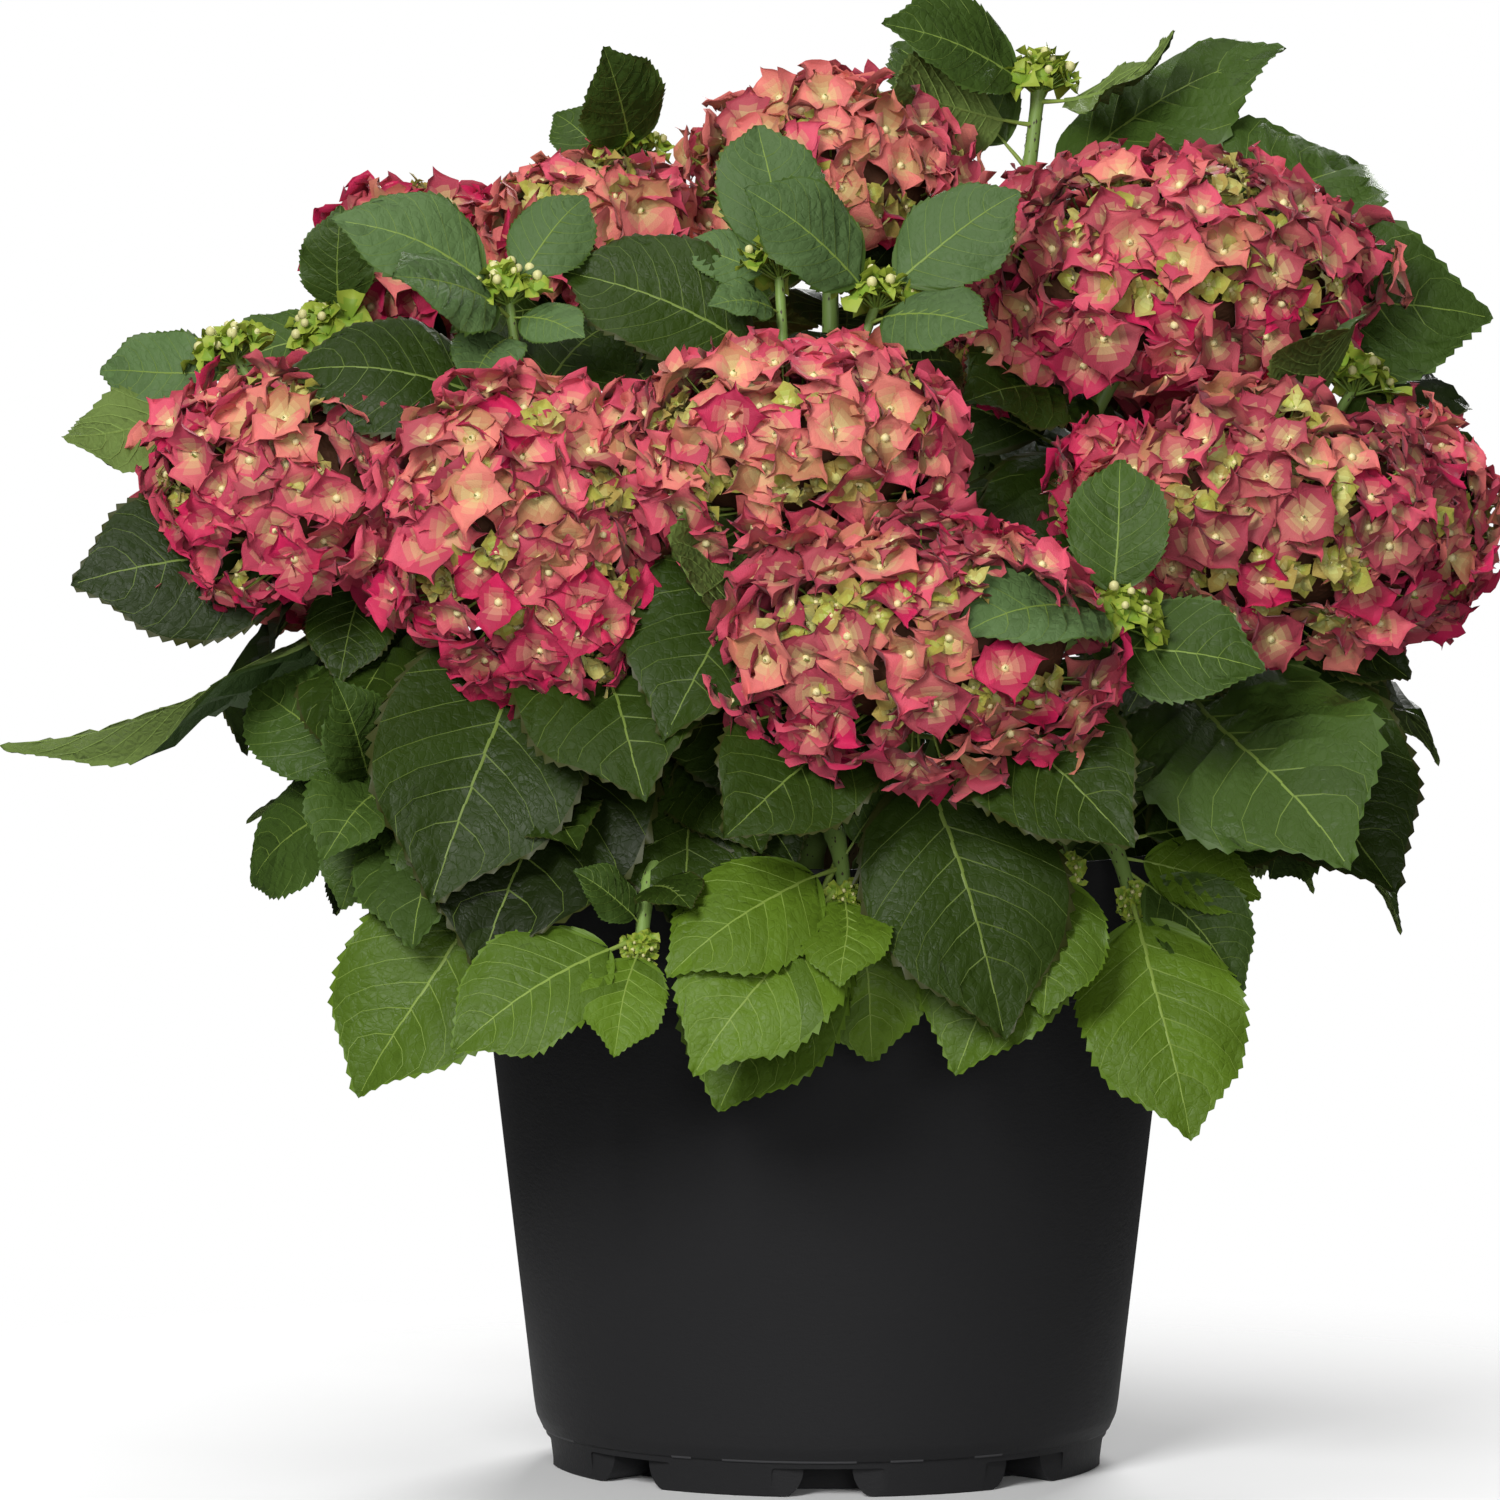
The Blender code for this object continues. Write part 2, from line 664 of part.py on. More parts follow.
def floret_corners(top, rings, cell, extra=0.0):
    """The four corners of a cell on the inner body, and the raised corners of its floret."""
    band, step = cell
    after = (step + 1) % top.sides
    inner = [rings[band][step], rings[band][after], rings[band + 1][after], rings[band + 1][step]]
    middle = sum(inner, Vector()) / 4.0
    outer = []
    for corner in inner:
        away = corner - middle
        spread = middle + away * FLORET_SPREAD + away.normalized() * extra
        arm = spread - top.centre
        outer.append(top.centre + arm / CORE_SHARE + arm.normalized() * extra)
    return inner, outer


def floret_mesh(top, rings, cell, extra=0.0):
    """One raised floret by itself, to try whether it has room."""
    inner, outer = floret_corners(top, rings, cell, extra)
    faces = [(3, 2, 1, 0), (4, 5, 6, 7)]
    for corner in range(4):
        after = (corner + 1) % 4
        faces.append((corner, after, 4 + after, 4 + corner))
    return mesh_from("floret", inner + outer, faces)


def head_mesh(top, body, raised):
    """A closed mophead: the inner body with its raised florets, flat below its skirt."""
    crown, rings, foot = body
    sides = top.sides
    points = [crown] + [point for ring in rings for point in ring] + [foot]
    faces = []
    for step in range(sides):
        after = (step + 1) % sides
        faces.append((0, 1 + step, 1 + after))
        for band in range(len(rings) - 1):
            low = 1 + band * sides
            corners = (low + step, low + after, low + sides + after, low + sides + step)
            if (band, step) in raised:
                first = len(points)
                points += floret_corners(top, rings, (band, step))[1]
                for corner in range(4):
                    other = (corner + 1) % 4
                    faces.append((corners[corner], corners[other], first + other))
                    faces.append((corners[corner], first + other, first + corner))
                corners = tuple(range(first, first + 4))
            faces.append((corners[0], corners[1], corners[2]))
            faces.append((corners[0], corners[2], corners[3]))
        low = 1 + (len(rings) - 1) * sides
        faces.append((low + step, 1 + len(rings) * sides, low + after))
    return mesh_from("head", points, faces)


def bud_mesh(centre, random):
    """A knobbly dome of closed buds."""
    shell = bmesh.new()
    bmesh.ops.create_icosphere(shell, subdivisions=1, radius=1.0)
    for vert in shell.verts:
        swell = random.uniform(*BUD_SWELL)
        vert.co = centre + Vector((
            vert.co.x * BUD_RADIUS * swell, vert.co.y * BUD_RADIUS * swell, vert.co.z * BUD_HEIGHT * swell,
        ))
    mesh = bpy.data.meshes.new("buds")
    shell.to_mesh(mesh)
    shell.free()
    return mesh


# ---------------------------------------------------------------- clearance between the masses

class Space:
    """What already stands, so that a leaf or floret can be kept clear of it."""

    def __init__(self):
        self.pieces = []

    @staticmethod
    def shape(mesh):
        points = np.array([vert.co[:] for vert in mesh.vertices])
        tree = BVHTree.FromPolygons(
            [tuple(point) for point in points], [tuple(face.vertices) for face in mesh.polygons])
        return points.min(axis=0), points.max(axis=0), tree

    def add(self, owner, mesh, shared=False):
        """Add a piece. A shared one may be touched by the other pieces of its own mass."""
        self.pieces.append((owner, shared, *self.shape(mesh)))

    def is_free(self, owner, whole, blade=None):
        """Whether the whole piece clears the other masses, and its blade clears its own mass too."""
        whole = self.shape(whole)
        blade = self.shape(blade) if blade else None
        for other, shared, other_low, other_high, other_tree in self.pieces:
            if other == owner and (shared or not blade):
                continue
            low, high, tree = blade if other == owner else whole
            if (low > other_high).any() or (high < other_low).any():
                continue
            if tree.overlap(other_tree):
                return False
        return True


def place_leaf(space, owner, node, tip, light, stations):
    """The leaf itself or the nearest nudge of it that is clear, best of its own mass too, or nothing."""
    length, _, face, side = leaf_frame(node, tip, light)
    for apart in (True, False):
        for lift, sway in NUDGES:
            moved = tip + face * lift + side * sway
            moved = node + (moved - node).normalized() * length
            whole = leaf_mesh(node, moved, light, stations, CLEARANCE)
            blade = None
            if apart:
                blade = leaf_mesh(node, moved, light, stations, CLEARANCE, LEAF_ROOT / length)
            free = space.is_free(owner, whole, blade)
            bpy.data.meshes.remove(whole)
            if blade:
                bpy.data.meshes.remove(blade)
            if free:
                mesh = leaf_mesh(node, moved, light, stations)
                space.add(owner, mesh)
                return mesh
    return None


def place_floret(space, owner, top, rings, cell):
    """Whether a floret can be raised without touching another mass."""
    trial = floret_mesh(top, rings, cell, CLEARANCE)
    free = space.is_free(owner, trial)
    if free:
        space.add(owner, trial)
    bpy.data.meshes.remove(trial)
    return free


# ---------------------------------------------------------------- masses

def shell_volume(faces):
    """Signed volume inside a set of triangles."""
    total = 0.0
    for face in faces:
        first, second, third = (vert.co for vert in face.verts)
        total += first.dot(second.cross(third)) / 6.0
    return total


def keep_outer_shell(mesh):
    """Drop the scraps that fusing left loose and fill the hollows that it sealed.

    Returns whether what is left is one closed surface.
    """
    work = bmesh.new()
    work.from_mesh(mesh)
    bmesh.ops.remove_doubles(work, verts=work.verts, dist=MERGE)
    bmesh.ops.triangulate(work, faces=work.faces)
    unseen = set(work.faces)
    shells = []
    while unseen:
        front = [unseen.pop()]
        shell = list(front)
        while front:
            for edge in front.pop().edges:
                if len(edge.link_faces) != 2:
                    continue
                for face in edge.link_faces:
                    if face in unseen:
                        unseen.remove(face)
                        front.append(face)
                        shell.append(face)
        shells.append(shell)
    shells.sort(key=shell_volume)
    for shell in shells[:-1]:
        bmesh.ops.delete(work, geom=shell, context="FACES")
    closed = all(edge.is_manifold for edge in work.edges)
    work.to_mesh(mesh)
    work.free()
    return closed


def fused_mesh(mass, group, solver, foot):
    """The mass joined with its pieces by one union, or nothing where the union fails."""
    joint = mass.modifiers.new("fused", "BOOLEAN")
    joint.operation = "UNION"
    joint.solver = solver
    joint.operand_type = "COLLECTION"
    joint.collection = group
    joint.material_mode = "INDEX"
    depsgraph = bpy.context.evaluated_depsgraph_get()
    mesh = bpy.data.meshes.new_from_object(mass.evaluated_get(depsgraph))
    mass.modifiers.clear()
    closed = keep_outer_shell(mesh)
    if closed and any((vert.co - foot).length < 2.0 * SHOOT_FOOT_RADIUS for vert in mesh.vertices):
        return mesh
    bpy.data.meshes.remove(mesh)
    return None


def fuse(name, stem, foot, pieces, materials):
    """Join a mass's pieces to its stem as one closed body."""
    mass = add_object(name, stem, *materials)
    group = bpy.data.collections.new(name + "_pieces")
    bpy.context.scene.collection.children.link(group)
    for mesh, slot in pieces:
        for material in materials:
            mesh.materials.append(material)
        for face in mesh.polygons:
            face.material_index = slot
        group.objects.link(bpy.data.objects.new(name + "_piece", mesh))
    mass.data = fused_mesh(mass, group, "EXACT", foot) or fused_mesh(mass, group, "MANIFOLD", foot)
    mass.data.name = name
    for item in list(group.objects):
        bpy.data.objects.remove(item, do_unlink=True)
    bpy.data.collections.remove(group)
    return mass


def build_plant(leaf_green, stem_green, petal_pink, bud_lime):
    space = Space()
    slots = (stem_green, leaf_green, petal_pink, bud_lime)
    stems = {}
    pieces = {shoot.name: [] for shoot in SHOOTS}
    bodies = {shoot.name: [] for shoot in SHOOTS}
    curves = {}

    space.add("pot", bpy.data.meshes.new_from_object(
        bpy.data.objects["pot"].evaluated_get(bpy.context.evaluated_depsgraph_get())))
    space.add("soil", bpy.data.objects["soil"].data)

    for number, shoot in enumerate(SHOOTS):
        random = np.random.default_rng(SEED + number)
        curve = stem_curve(shoot)
        curves[shoot.name] = curve
        part = shoot.part + GAP / heading(*curve, shoot.part).length
        path = curve_path(curve, 0.0, shoot.part)
        path[0] = (curve[0], Vector((0.0, 0.0, 1.0)))
        bough = tube("stem_" + shoot.name, path, BOUGH_FOOT_RADIUS, BOUGH_TOP_RADIUS)
        stem = tube(shoot.name, curve_path(curve, part, 1.0), SHOOT_FOOT_RADIUS, SHOOT_TOP_RADIUS)
        item = add_object("stem_" + shoot.name, bough, stem_green)
        item.data.shade_smooth()
        item.data.set_sharp_from_angle(angle=radians(60.0))
        space.add("stem_" + shoot.name, bough)
        space.add(shoot.name, stem)
        stems[shoot.name] = stem
        for twig in shoot.twigs:
            path = curve_path(twig_curve(curve, shoot.part, twig), 0.0, 1.0)
            mesh = tube("twig", path, TWIG_FOOT_RADIUS, TWIG_TOP_RADIUS, TWIG_SIDES)
            space.add(shoot.name, mesh)
            pieces[shoot.name].append((mesh, 0))
        for top in shoot.domes:
            body = head_rings(top, random)
            space.add(shoot.name, head_mesh(top, body, ()))
            bodies[shoot.name].append(body)
        tips = [twig.tip for twig in shoot.twigs]
        if not shoot.domes:
            tips.append(shoot.tip)
        for tip in tips:
            mesh = bud_mesh(Vector(tip) * MM, random)
            space.add(shoot.name, mesh, shared=True)
            pieces[shoot.name].append((mesh, 3))

    for shoot in SHOOTS:
        for top, body in zip(shoot.domes, bodies[shoot.name]):
            raised = [cell for cell in floret_cells(top) if place_floret(space, shoot.name, top, body[1], cell)]
            pieces[shoot.name].append((head_mesh(top, body, raised), 2))

    for number, shoot in enumerate(SHOOTS):
        random = np.random.default_rng(SEED + number)
        curve = curves[shoot.name]
        start = shoot.part
        wanted = [set_leaf(curve, start, leaf) for leaf in shoot.leaves]
        for twig in shoot.twigs:
            own = twig_curve(curve, start, twig)
            wanted += [set_leaf(own, 0.0, leaf) for leaf in twig.leaves]
            if not twig.leaves:
                wanted += whorl_leaves(own, 0.0, random)
        droop = BLOOM_DROOP if shoot.domes else RIM_DROOP
        if not shoot.domes and not shoot.leaves:
            wanted += whorl_leaves(curve, droop, random)
        wanted += pair_leaves(curve, start, shoot.pairs, droop, random)
        for node, tip, light, stations in wanted:
            mesh = place_leaf(space, shoot.name, node, tip, light, stations)
            if mesh:
                pieces[shoot.name].append((mesh, 1))

    for shoot in SHOOTS:
        prefix = "bloom_" if shoot.domes else "shoot_"
        foot = bend(*curves[shoot.name], shoot.part)
        fuse(prefix + shoot.name, stems[shoot.name], foot, pieces[shoot.name], slots)


clear_scene()
build_pot(make_material("pot_plastic", (0.022, 0.022, 0.024), 0.55))
build_soil(make_material("potting_soil", (0.060, 0.040, 0.028), 0.95))
build_plant(
    make_material("leaf_green", (0.060, 0.150, 0.045), 0.50),
    make_material("stem_green", (0.170, 0.240, 0.070), 0.60),
    make_material("petal_pink", (0.620, 0.100, 0.130), 0.65),
    make_material("bud_lime", (0.420, 0.560, 0.130), 0.60),
)
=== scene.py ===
"""Potted hydrangea shrub: the fine shape and finish of every piece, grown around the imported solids.

Laid out as an add-on. Each operator makes one kind of piece and main() runs them in order.
Units are metres, +Z is up, and the origin is the middle of the pot's flat underside.
"""
from collections import namedtuple
from math import ceil, cos, hypot, pi, radians, sin, sqrt

import bmesh
import bpy
import numpy as np
from bpy.props import FloatProperty, FloatVectorProperty, PointerProperty
from bpy.types import Operator, Panel, PropertyGroup
from mathutils import Matrix, Vector
from mathutils.kdtree import KDTree


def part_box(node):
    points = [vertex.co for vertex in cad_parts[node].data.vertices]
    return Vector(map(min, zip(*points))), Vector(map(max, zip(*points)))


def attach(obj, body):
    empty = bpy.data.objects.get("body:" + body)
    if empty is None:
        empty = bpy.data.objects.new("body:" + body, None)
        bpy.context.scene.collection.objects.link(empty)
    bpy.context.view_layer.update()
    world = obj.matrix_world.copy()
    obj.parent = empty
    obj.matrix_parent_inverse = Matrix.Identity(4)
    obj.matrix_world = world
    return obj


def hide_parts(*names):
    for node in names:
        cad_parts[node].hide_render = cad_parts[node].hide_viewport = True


bl_info = {
    "name": "Potted Hydrangea",
    "version": (1, 0, 0),
    "blender": (4, 5, 0),
    "location": "View3D > Sidebar > Hydrangea",
    "description": "Grows the leaves, florets, buds and stems of a potted hydrangea shrub",
    "category": "Add Mesh",
}

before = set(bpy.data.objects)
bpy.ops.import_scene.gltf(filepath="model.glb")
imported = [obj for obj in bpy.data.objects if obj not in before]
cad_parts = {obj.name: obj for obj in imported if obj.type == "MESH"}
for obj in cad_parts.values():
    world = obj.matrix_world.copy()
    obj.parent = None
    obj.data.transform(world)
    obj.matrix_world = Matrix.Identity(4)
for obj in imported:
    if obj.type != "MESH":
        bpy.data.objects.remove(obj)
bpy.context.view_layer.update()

MM = 0.001
GAP = 0.0003
SEED = 11
FINE_SEED = 700
GOLDEN_TURN = pi * (3.0 - sqrt(5.0))

# Pot
POT_HEIGHT = 0.283
RIM_RADIUS = 0.175
RIM_FOOT_RADIUS = 0.1705
RIM_FOOT_HEIGHT = 0.2205
BODY_TOP_RADIUS = 0.1545
BODY_FOOT_RADIUS = 0.1323
BODY_FOOT_HEIGHT = 0.028
LEDGE_RADIUS = 0.1285
LEDGE_HEIGHT = 0.0155
FOOT_TOP_RADIUS = 0.1272
FOOT_RADIUS = 0.1252
POT_WALL = 0.0026
FLOOR_HEIGHT = 0.018
LEDGE_SLOPE = 0.0006
SHOULDER_INSET = 0.0010
SHOULDER_DROP = 0.0060
AXIS_HOLE = 0.001
POT_CORNER = 0.0011
CORNER_SHARE = 0.45
POT_SIDES = 160
SHARP_ANGLE = 34.0

# The broken pale line along the ledge above the foot, as steps out from the pot and up from the ledge
PALE_LINE_FOOT = (0.0010, 0.0001)
PALE_LINE_LOW = (0.0002, 0.0007)
PALE_LINE_HEIGHT = 0.0007
PALE_LINE_TOP = (-0.0009, 0.0020)
PALE_LINE_BLUR = 9
PALE_LINE_SHARE = 0.5
PALE_LINE_PALENESS = 2.6

# Drainage notches cut up into the foot
NOTCHES = 8
NOTCH_HEIGHT = 0.013
NOTCH_RECESS_HALF_WIDTH = 0.0250
NOTCH_RECESS_DEPTH = 0.0040
NOTCH_TOP_HALF_WIDTH = 0.0108
NOTCH_FOOT_HALF_WIDTH = 0.0210
NOTCH_DEPTH = 0.030
NOTCH_ROUND = 0.0016
CUT_MARGIN = 0.006

# Potting soil
SOIL_TOP = 0.258
SOIL_RINGS = 22
SOIL_SIDES = 84
SOIL_ROUGHNESS = 0.0022
SOIL_CROWN = 0.004
SOIL_WALL_SHARE = 0.98
SOIL_WALL_DEPTH = 0.02
CRUMBS = 420
CRUMB_SIZES = (0.0012, 0.0042)
CRUMB_LUMPS = (0.6, 1.3)
CRUMB_FLATNESS = 0.7
CRUMB_REACH = 0.96
CRUMB_LIFT = 0.2

# Stems
STEM_SIDES = 10
TWIG_SIDES = 8
RING_STEP = 0.006
BOUGH_FOOT_RADIUS = 0.0070
BOUGH_TOP_RADIUS = 0.0052
SHOOT_TOP_RADIUS = 0.0030
TWIG_FOOT_RADIUS = 0.0036
TWIG_TOP_RADIUS = 0.0022
TWIG_KNEE = 0.45
TWIG_LEAD = 0.10
ROOT_DEPTH = 0.3
CORE_SHARE = 0.86
BARK_SHARE = 0.30
ROOT_SINK = 0.006
JOINT_SPACING = 0.058
JOINT_SWELL = 0.22
JOINT_LENGTH = 0.0045
STEM_UNEVENNESS = 0.03
SPECK_SPACING = 0.0042
SPECKS_AROUND = 2.5
SPECK_LENGTH = 0.0013
SPECK_WIDTH = 0.0005
SPECK_SIZES = (0.5, 1.2)
SPECK_LIFT = 0.00025
SPECK_END_SINK = 0.0004
SPECK_SIDE_SINK = 0.0003
THREAD_SIDES = 3
THREAD_RADII = (0.0011, 0.0006)

# Leaves, in shares of their own length
LEAF_WIDTH = 0.71
PETIOLE = 0.17
LEAF_ARCH = 0.07
LEAF_LEAN = 50.0
STALK_RADIUS = 0.0135
STALK_SIDES = 6
WIDEST = 0.45
BLADE_ROWS = 16
BLADE_COLUMNS = (0.0, 0.26, 0.54, 0.80, 0.982)
LAST_ROW = 0.97
VEIN_SWEEP = 0.30
VEIN_BEND = 0.42
TEETH = 22
TOOTH_PEAK = 0.70
BLADE_THICKNESS = 0.0032
RIB_WIDTH = 0.0095
RIB_TAPER = 0.82
RIB_BELOW = 2.2
SIDE_VEIN_WIDTH = 0.0038
SIDE_VEIN_RISE = 0.75
SIDE_VEIN_TAPER = 0.35
VEIN_SINK = 0.35
STALK_TAPER = (1.25, 1.1, 0.95, 0.85, 0.75, 0.5)
STALK_MEETS = 0.7
# Share of vein panels whose tint steps lighter or darker as painted shade of the bulging panels
SHADED_PANEL_SHARE = 0.3
VALE_DEPTH = -0.6
SWELL_HEIGHT = 1.0
PUCKER = 0.22
EDGE_LIFT = 0.35
TOOTH_SIZES = (0.5, 1.4)
TOOTHLESS_BASE = 0.25
LAST_TOOTH = 0.995

# How a blade bends: ranges that each leaf draws from, in shares of its length, half width or turn
ARCH = (0.7, 1.4)
FOLD = (0.02, 0.38)
DROOP = (0.0, 0.36)
SWAY = (-0.035, 0.035)
CURL = (-0.01, 0.09)
CURL_START = 0.55
TWIST = (-0.30, 0.30)
TWIST_START = 0.3
WAVE = (0.015, 0.045)
BEAT = (1.3, 2.6)
ROLL_SWAY = 12.0

# Leaves that grow by rule: opposite pairs up a stem, and a whorl under a bud cluster
LEAF_LENGTH = 0.108
LEAF_PAIRS = (0.32, 0.60, 0.86)
PAIR_BEARING = 52.0
PAIR_TURN = 90.0
PAIR_SWAY = 16.0
PAIR_RISE = (-22.0, 14.0)
PAIR_REACH = (0.86, 1.12)
GROWN_LEAN = (20.0, 50.0)
RIM_DROOP = 26.0
BLOOM_DROOP = 14.0
WHORL_LEAVES = 4
WHORL_SHARE = 0.93
WHORL_SWAY = 0.12
WHORL_RISE = (-5.0, 32.0)
WHORL_REACH = (0.66, 0.86)
NUDGE_STEP = 0.013
NUDGES = sorted(
    ((lift * NUDGE_STEP, sway * NUDGE_STEP) for lift in range(-3, 4) for sway in range(-3, 4)),
    key=lambda nudge: (nudge[0] ** 2 + nudge[1] ** 2, nudge),
)
TIP_MATCH = 0.0005

# Mopheads
SEPAL_ZONES = ("heart", "glow", "blush", "body", "edge", "rim")
HEART, GLOW, BLUSH, BODY, EDGE, RIM = range(len(SEPAL_ZONES))
ZONES = len(SEPAL_ZONES)
SepalGrid = namedtuple("SepalGrid", "stations widths ragged columns zones")
BROAD_SEPAL = SepalGrid(
    (0.02, 0.15, 0.30, 0.46, 0.63, 0.80, 0.93), (0.14, 0.54, 0.92, 1.0, 0.66, 0.25, 0.07),
    (0.02, 0.05, 0.07, 0.09, 0.13, 0.19, 0.24), (-1.0, -0.84, -0.42, 0.0, 0.42, 0.84, 1.0),
    (HEART, GLOW, BLUSH, BODY, BODY, EDGE))
REAR_SEPAL = SepalGrid(
    (0.02, 0.22, 0.46, 0.70, 0.90), (0.14, 0.68, 1.0, 0.60, 0.16),
    (0.02, 0.06, 0.09, 0.14, 0.22), (-1.0, -0.80, 0.0, 0.80, 1.0), (HEART, BLUSH, BODY, EDGE))
SMALL_SEPAL = SepalGrid(
    (0.02, 0.30, 0.56, 0.82), (0.16, 0.78, 1.0, 0.62), (0.02, 0.10, 0.16, 0.26),
    (-1.0, -0.5, 0.0, 0.5, 1.0), (HEART, BLUSH, EDGE))
FLORET_KINDS = 20
FIVE_SEPALS = 0.12
SEPAL_TIP = 1.16

# Ranges that each sepal draws from, in shares of the floret's radius
SEPAL_REACH = (0.84, 1.08)
SEPAL_BREADTH = (0.50, 0.64)
SEPAL_CUP = (0.50, 1.05)
SEPAL_RECURVE = (0.30, 0.95)
SEPAL_FOLD = (-0.10, 0.34)
SEPAL_SAG = (-0.10, 0.20)
SEPAL_LEAN = (-0.28, 0.28)
SEPAL_WAVE = (0.05, 0.17)
SEPAL_RUFFLE = (0.04, 0.20)
SEPAL_GRAIN = 0.014
SEPAL_TIP_SWAY = (-0.06, 0.06)
SEPAL_TIP_LIFT = (-0.14, 0.14)

# How florets stand in a mophead
SKIRT = -0.42
AREA_POWER = 1.6
WAY_SWAY = 0.10
CLUMP_SWAY = 0.2
FLORET_SIZES = (0.76, 1.16)
LIME_SIZES = (0.30, 0.60)
FLORET_LEVELS = (0.83, 1.0)
LIME_LEVELS = (0.80, 0.94)
STRAGGLER_LEVELS = (1.0, 1.09)
FLORET_TILT = 0.48
LIME_STRETCH = 1.35
LIME_BEAD = 0.62
BEAD_SIZES = (0.85, 1.15)
BEAD_SEAT = 0.8
BRANCHING = 0.55
THREAD_START = 0.12
THREAD_END = 0.0004
SUNK_HEART = 0.24
RUFFLES = 9.0
INSIDE = 0.8
REAR_VIEW = -0.2
STRAGGLERS = 0.12
CORE = 0.62
CORE_DEPTH = 0.020
HANGING = 0.1
HANG = 0.010
PARTING = 0.019
FRONT_REACH = 0.08
HIDDEN_SIDE = 0.35
RIPE_LEAN = 0.7
RIPE_CROWN = 0.34
RIPE_PATCH = 0.30
RIPE_CHANCE = 0.82
PATCH_GRAIN = 0.0135
SHADED_BELOW = -0.12
LIME_CLUMP = 3

Dome = namedtuple("Dome", "centre radii facing mood")
Twig = namedtuple("Twig", "at tip leaves look")
Shoot = namedtuple("Shoot", "name foot knee tip part domes leaves pairs twigs look")
Leaf = namedtuple("Leaf", "share tip lean look")
Blade = namedtuple("Blade", "node tip light look")


def leaf(share, x, y, z, lean=LEAF_LEAN, look=None):
    """A leaf given in the list: the share up its stem, its tip in millimetres, its lean and its look."""
    return Leaf(share, Vector((x, y, z)) * MM, lean, look)


def dome(x, y, z, wide, deep, high, facing, mood="coral"):
    """A mophead: centre and half sizes in millimetres, the way it faces, and its blend of colours."""
    centre = Vector((x, y, z)) * MM
    return Dome(centre, Vector((wide, deep, high)) * MM, Vector(facing).normalized(), mood)


# Twig leaves take the blue look unless given another, with its painted sheen.
def twig(at, tip, leaves=(), look="blue"):
    return Twig(at, Vector(tip) * MM, leaves, look)


def bloom(name, foot, knee, domes, leaves=(), pairs=3, twigs=(), look="old"):
    """A shoot that ends inside its first mophead."""
    return Shoot(name, foot, knee, None, 0.5, domes, leaves, pairs, twigs, look)


def leafy(name, foot, knee, tip, leaves=(), pairs=3, part=0.42, look="mid"):
    """A shoot that ends in a cluster of buds."""
    return Shoot(name, foot, knee, Vector(tip) * MM, part, (), leaves, pairs, (), look)


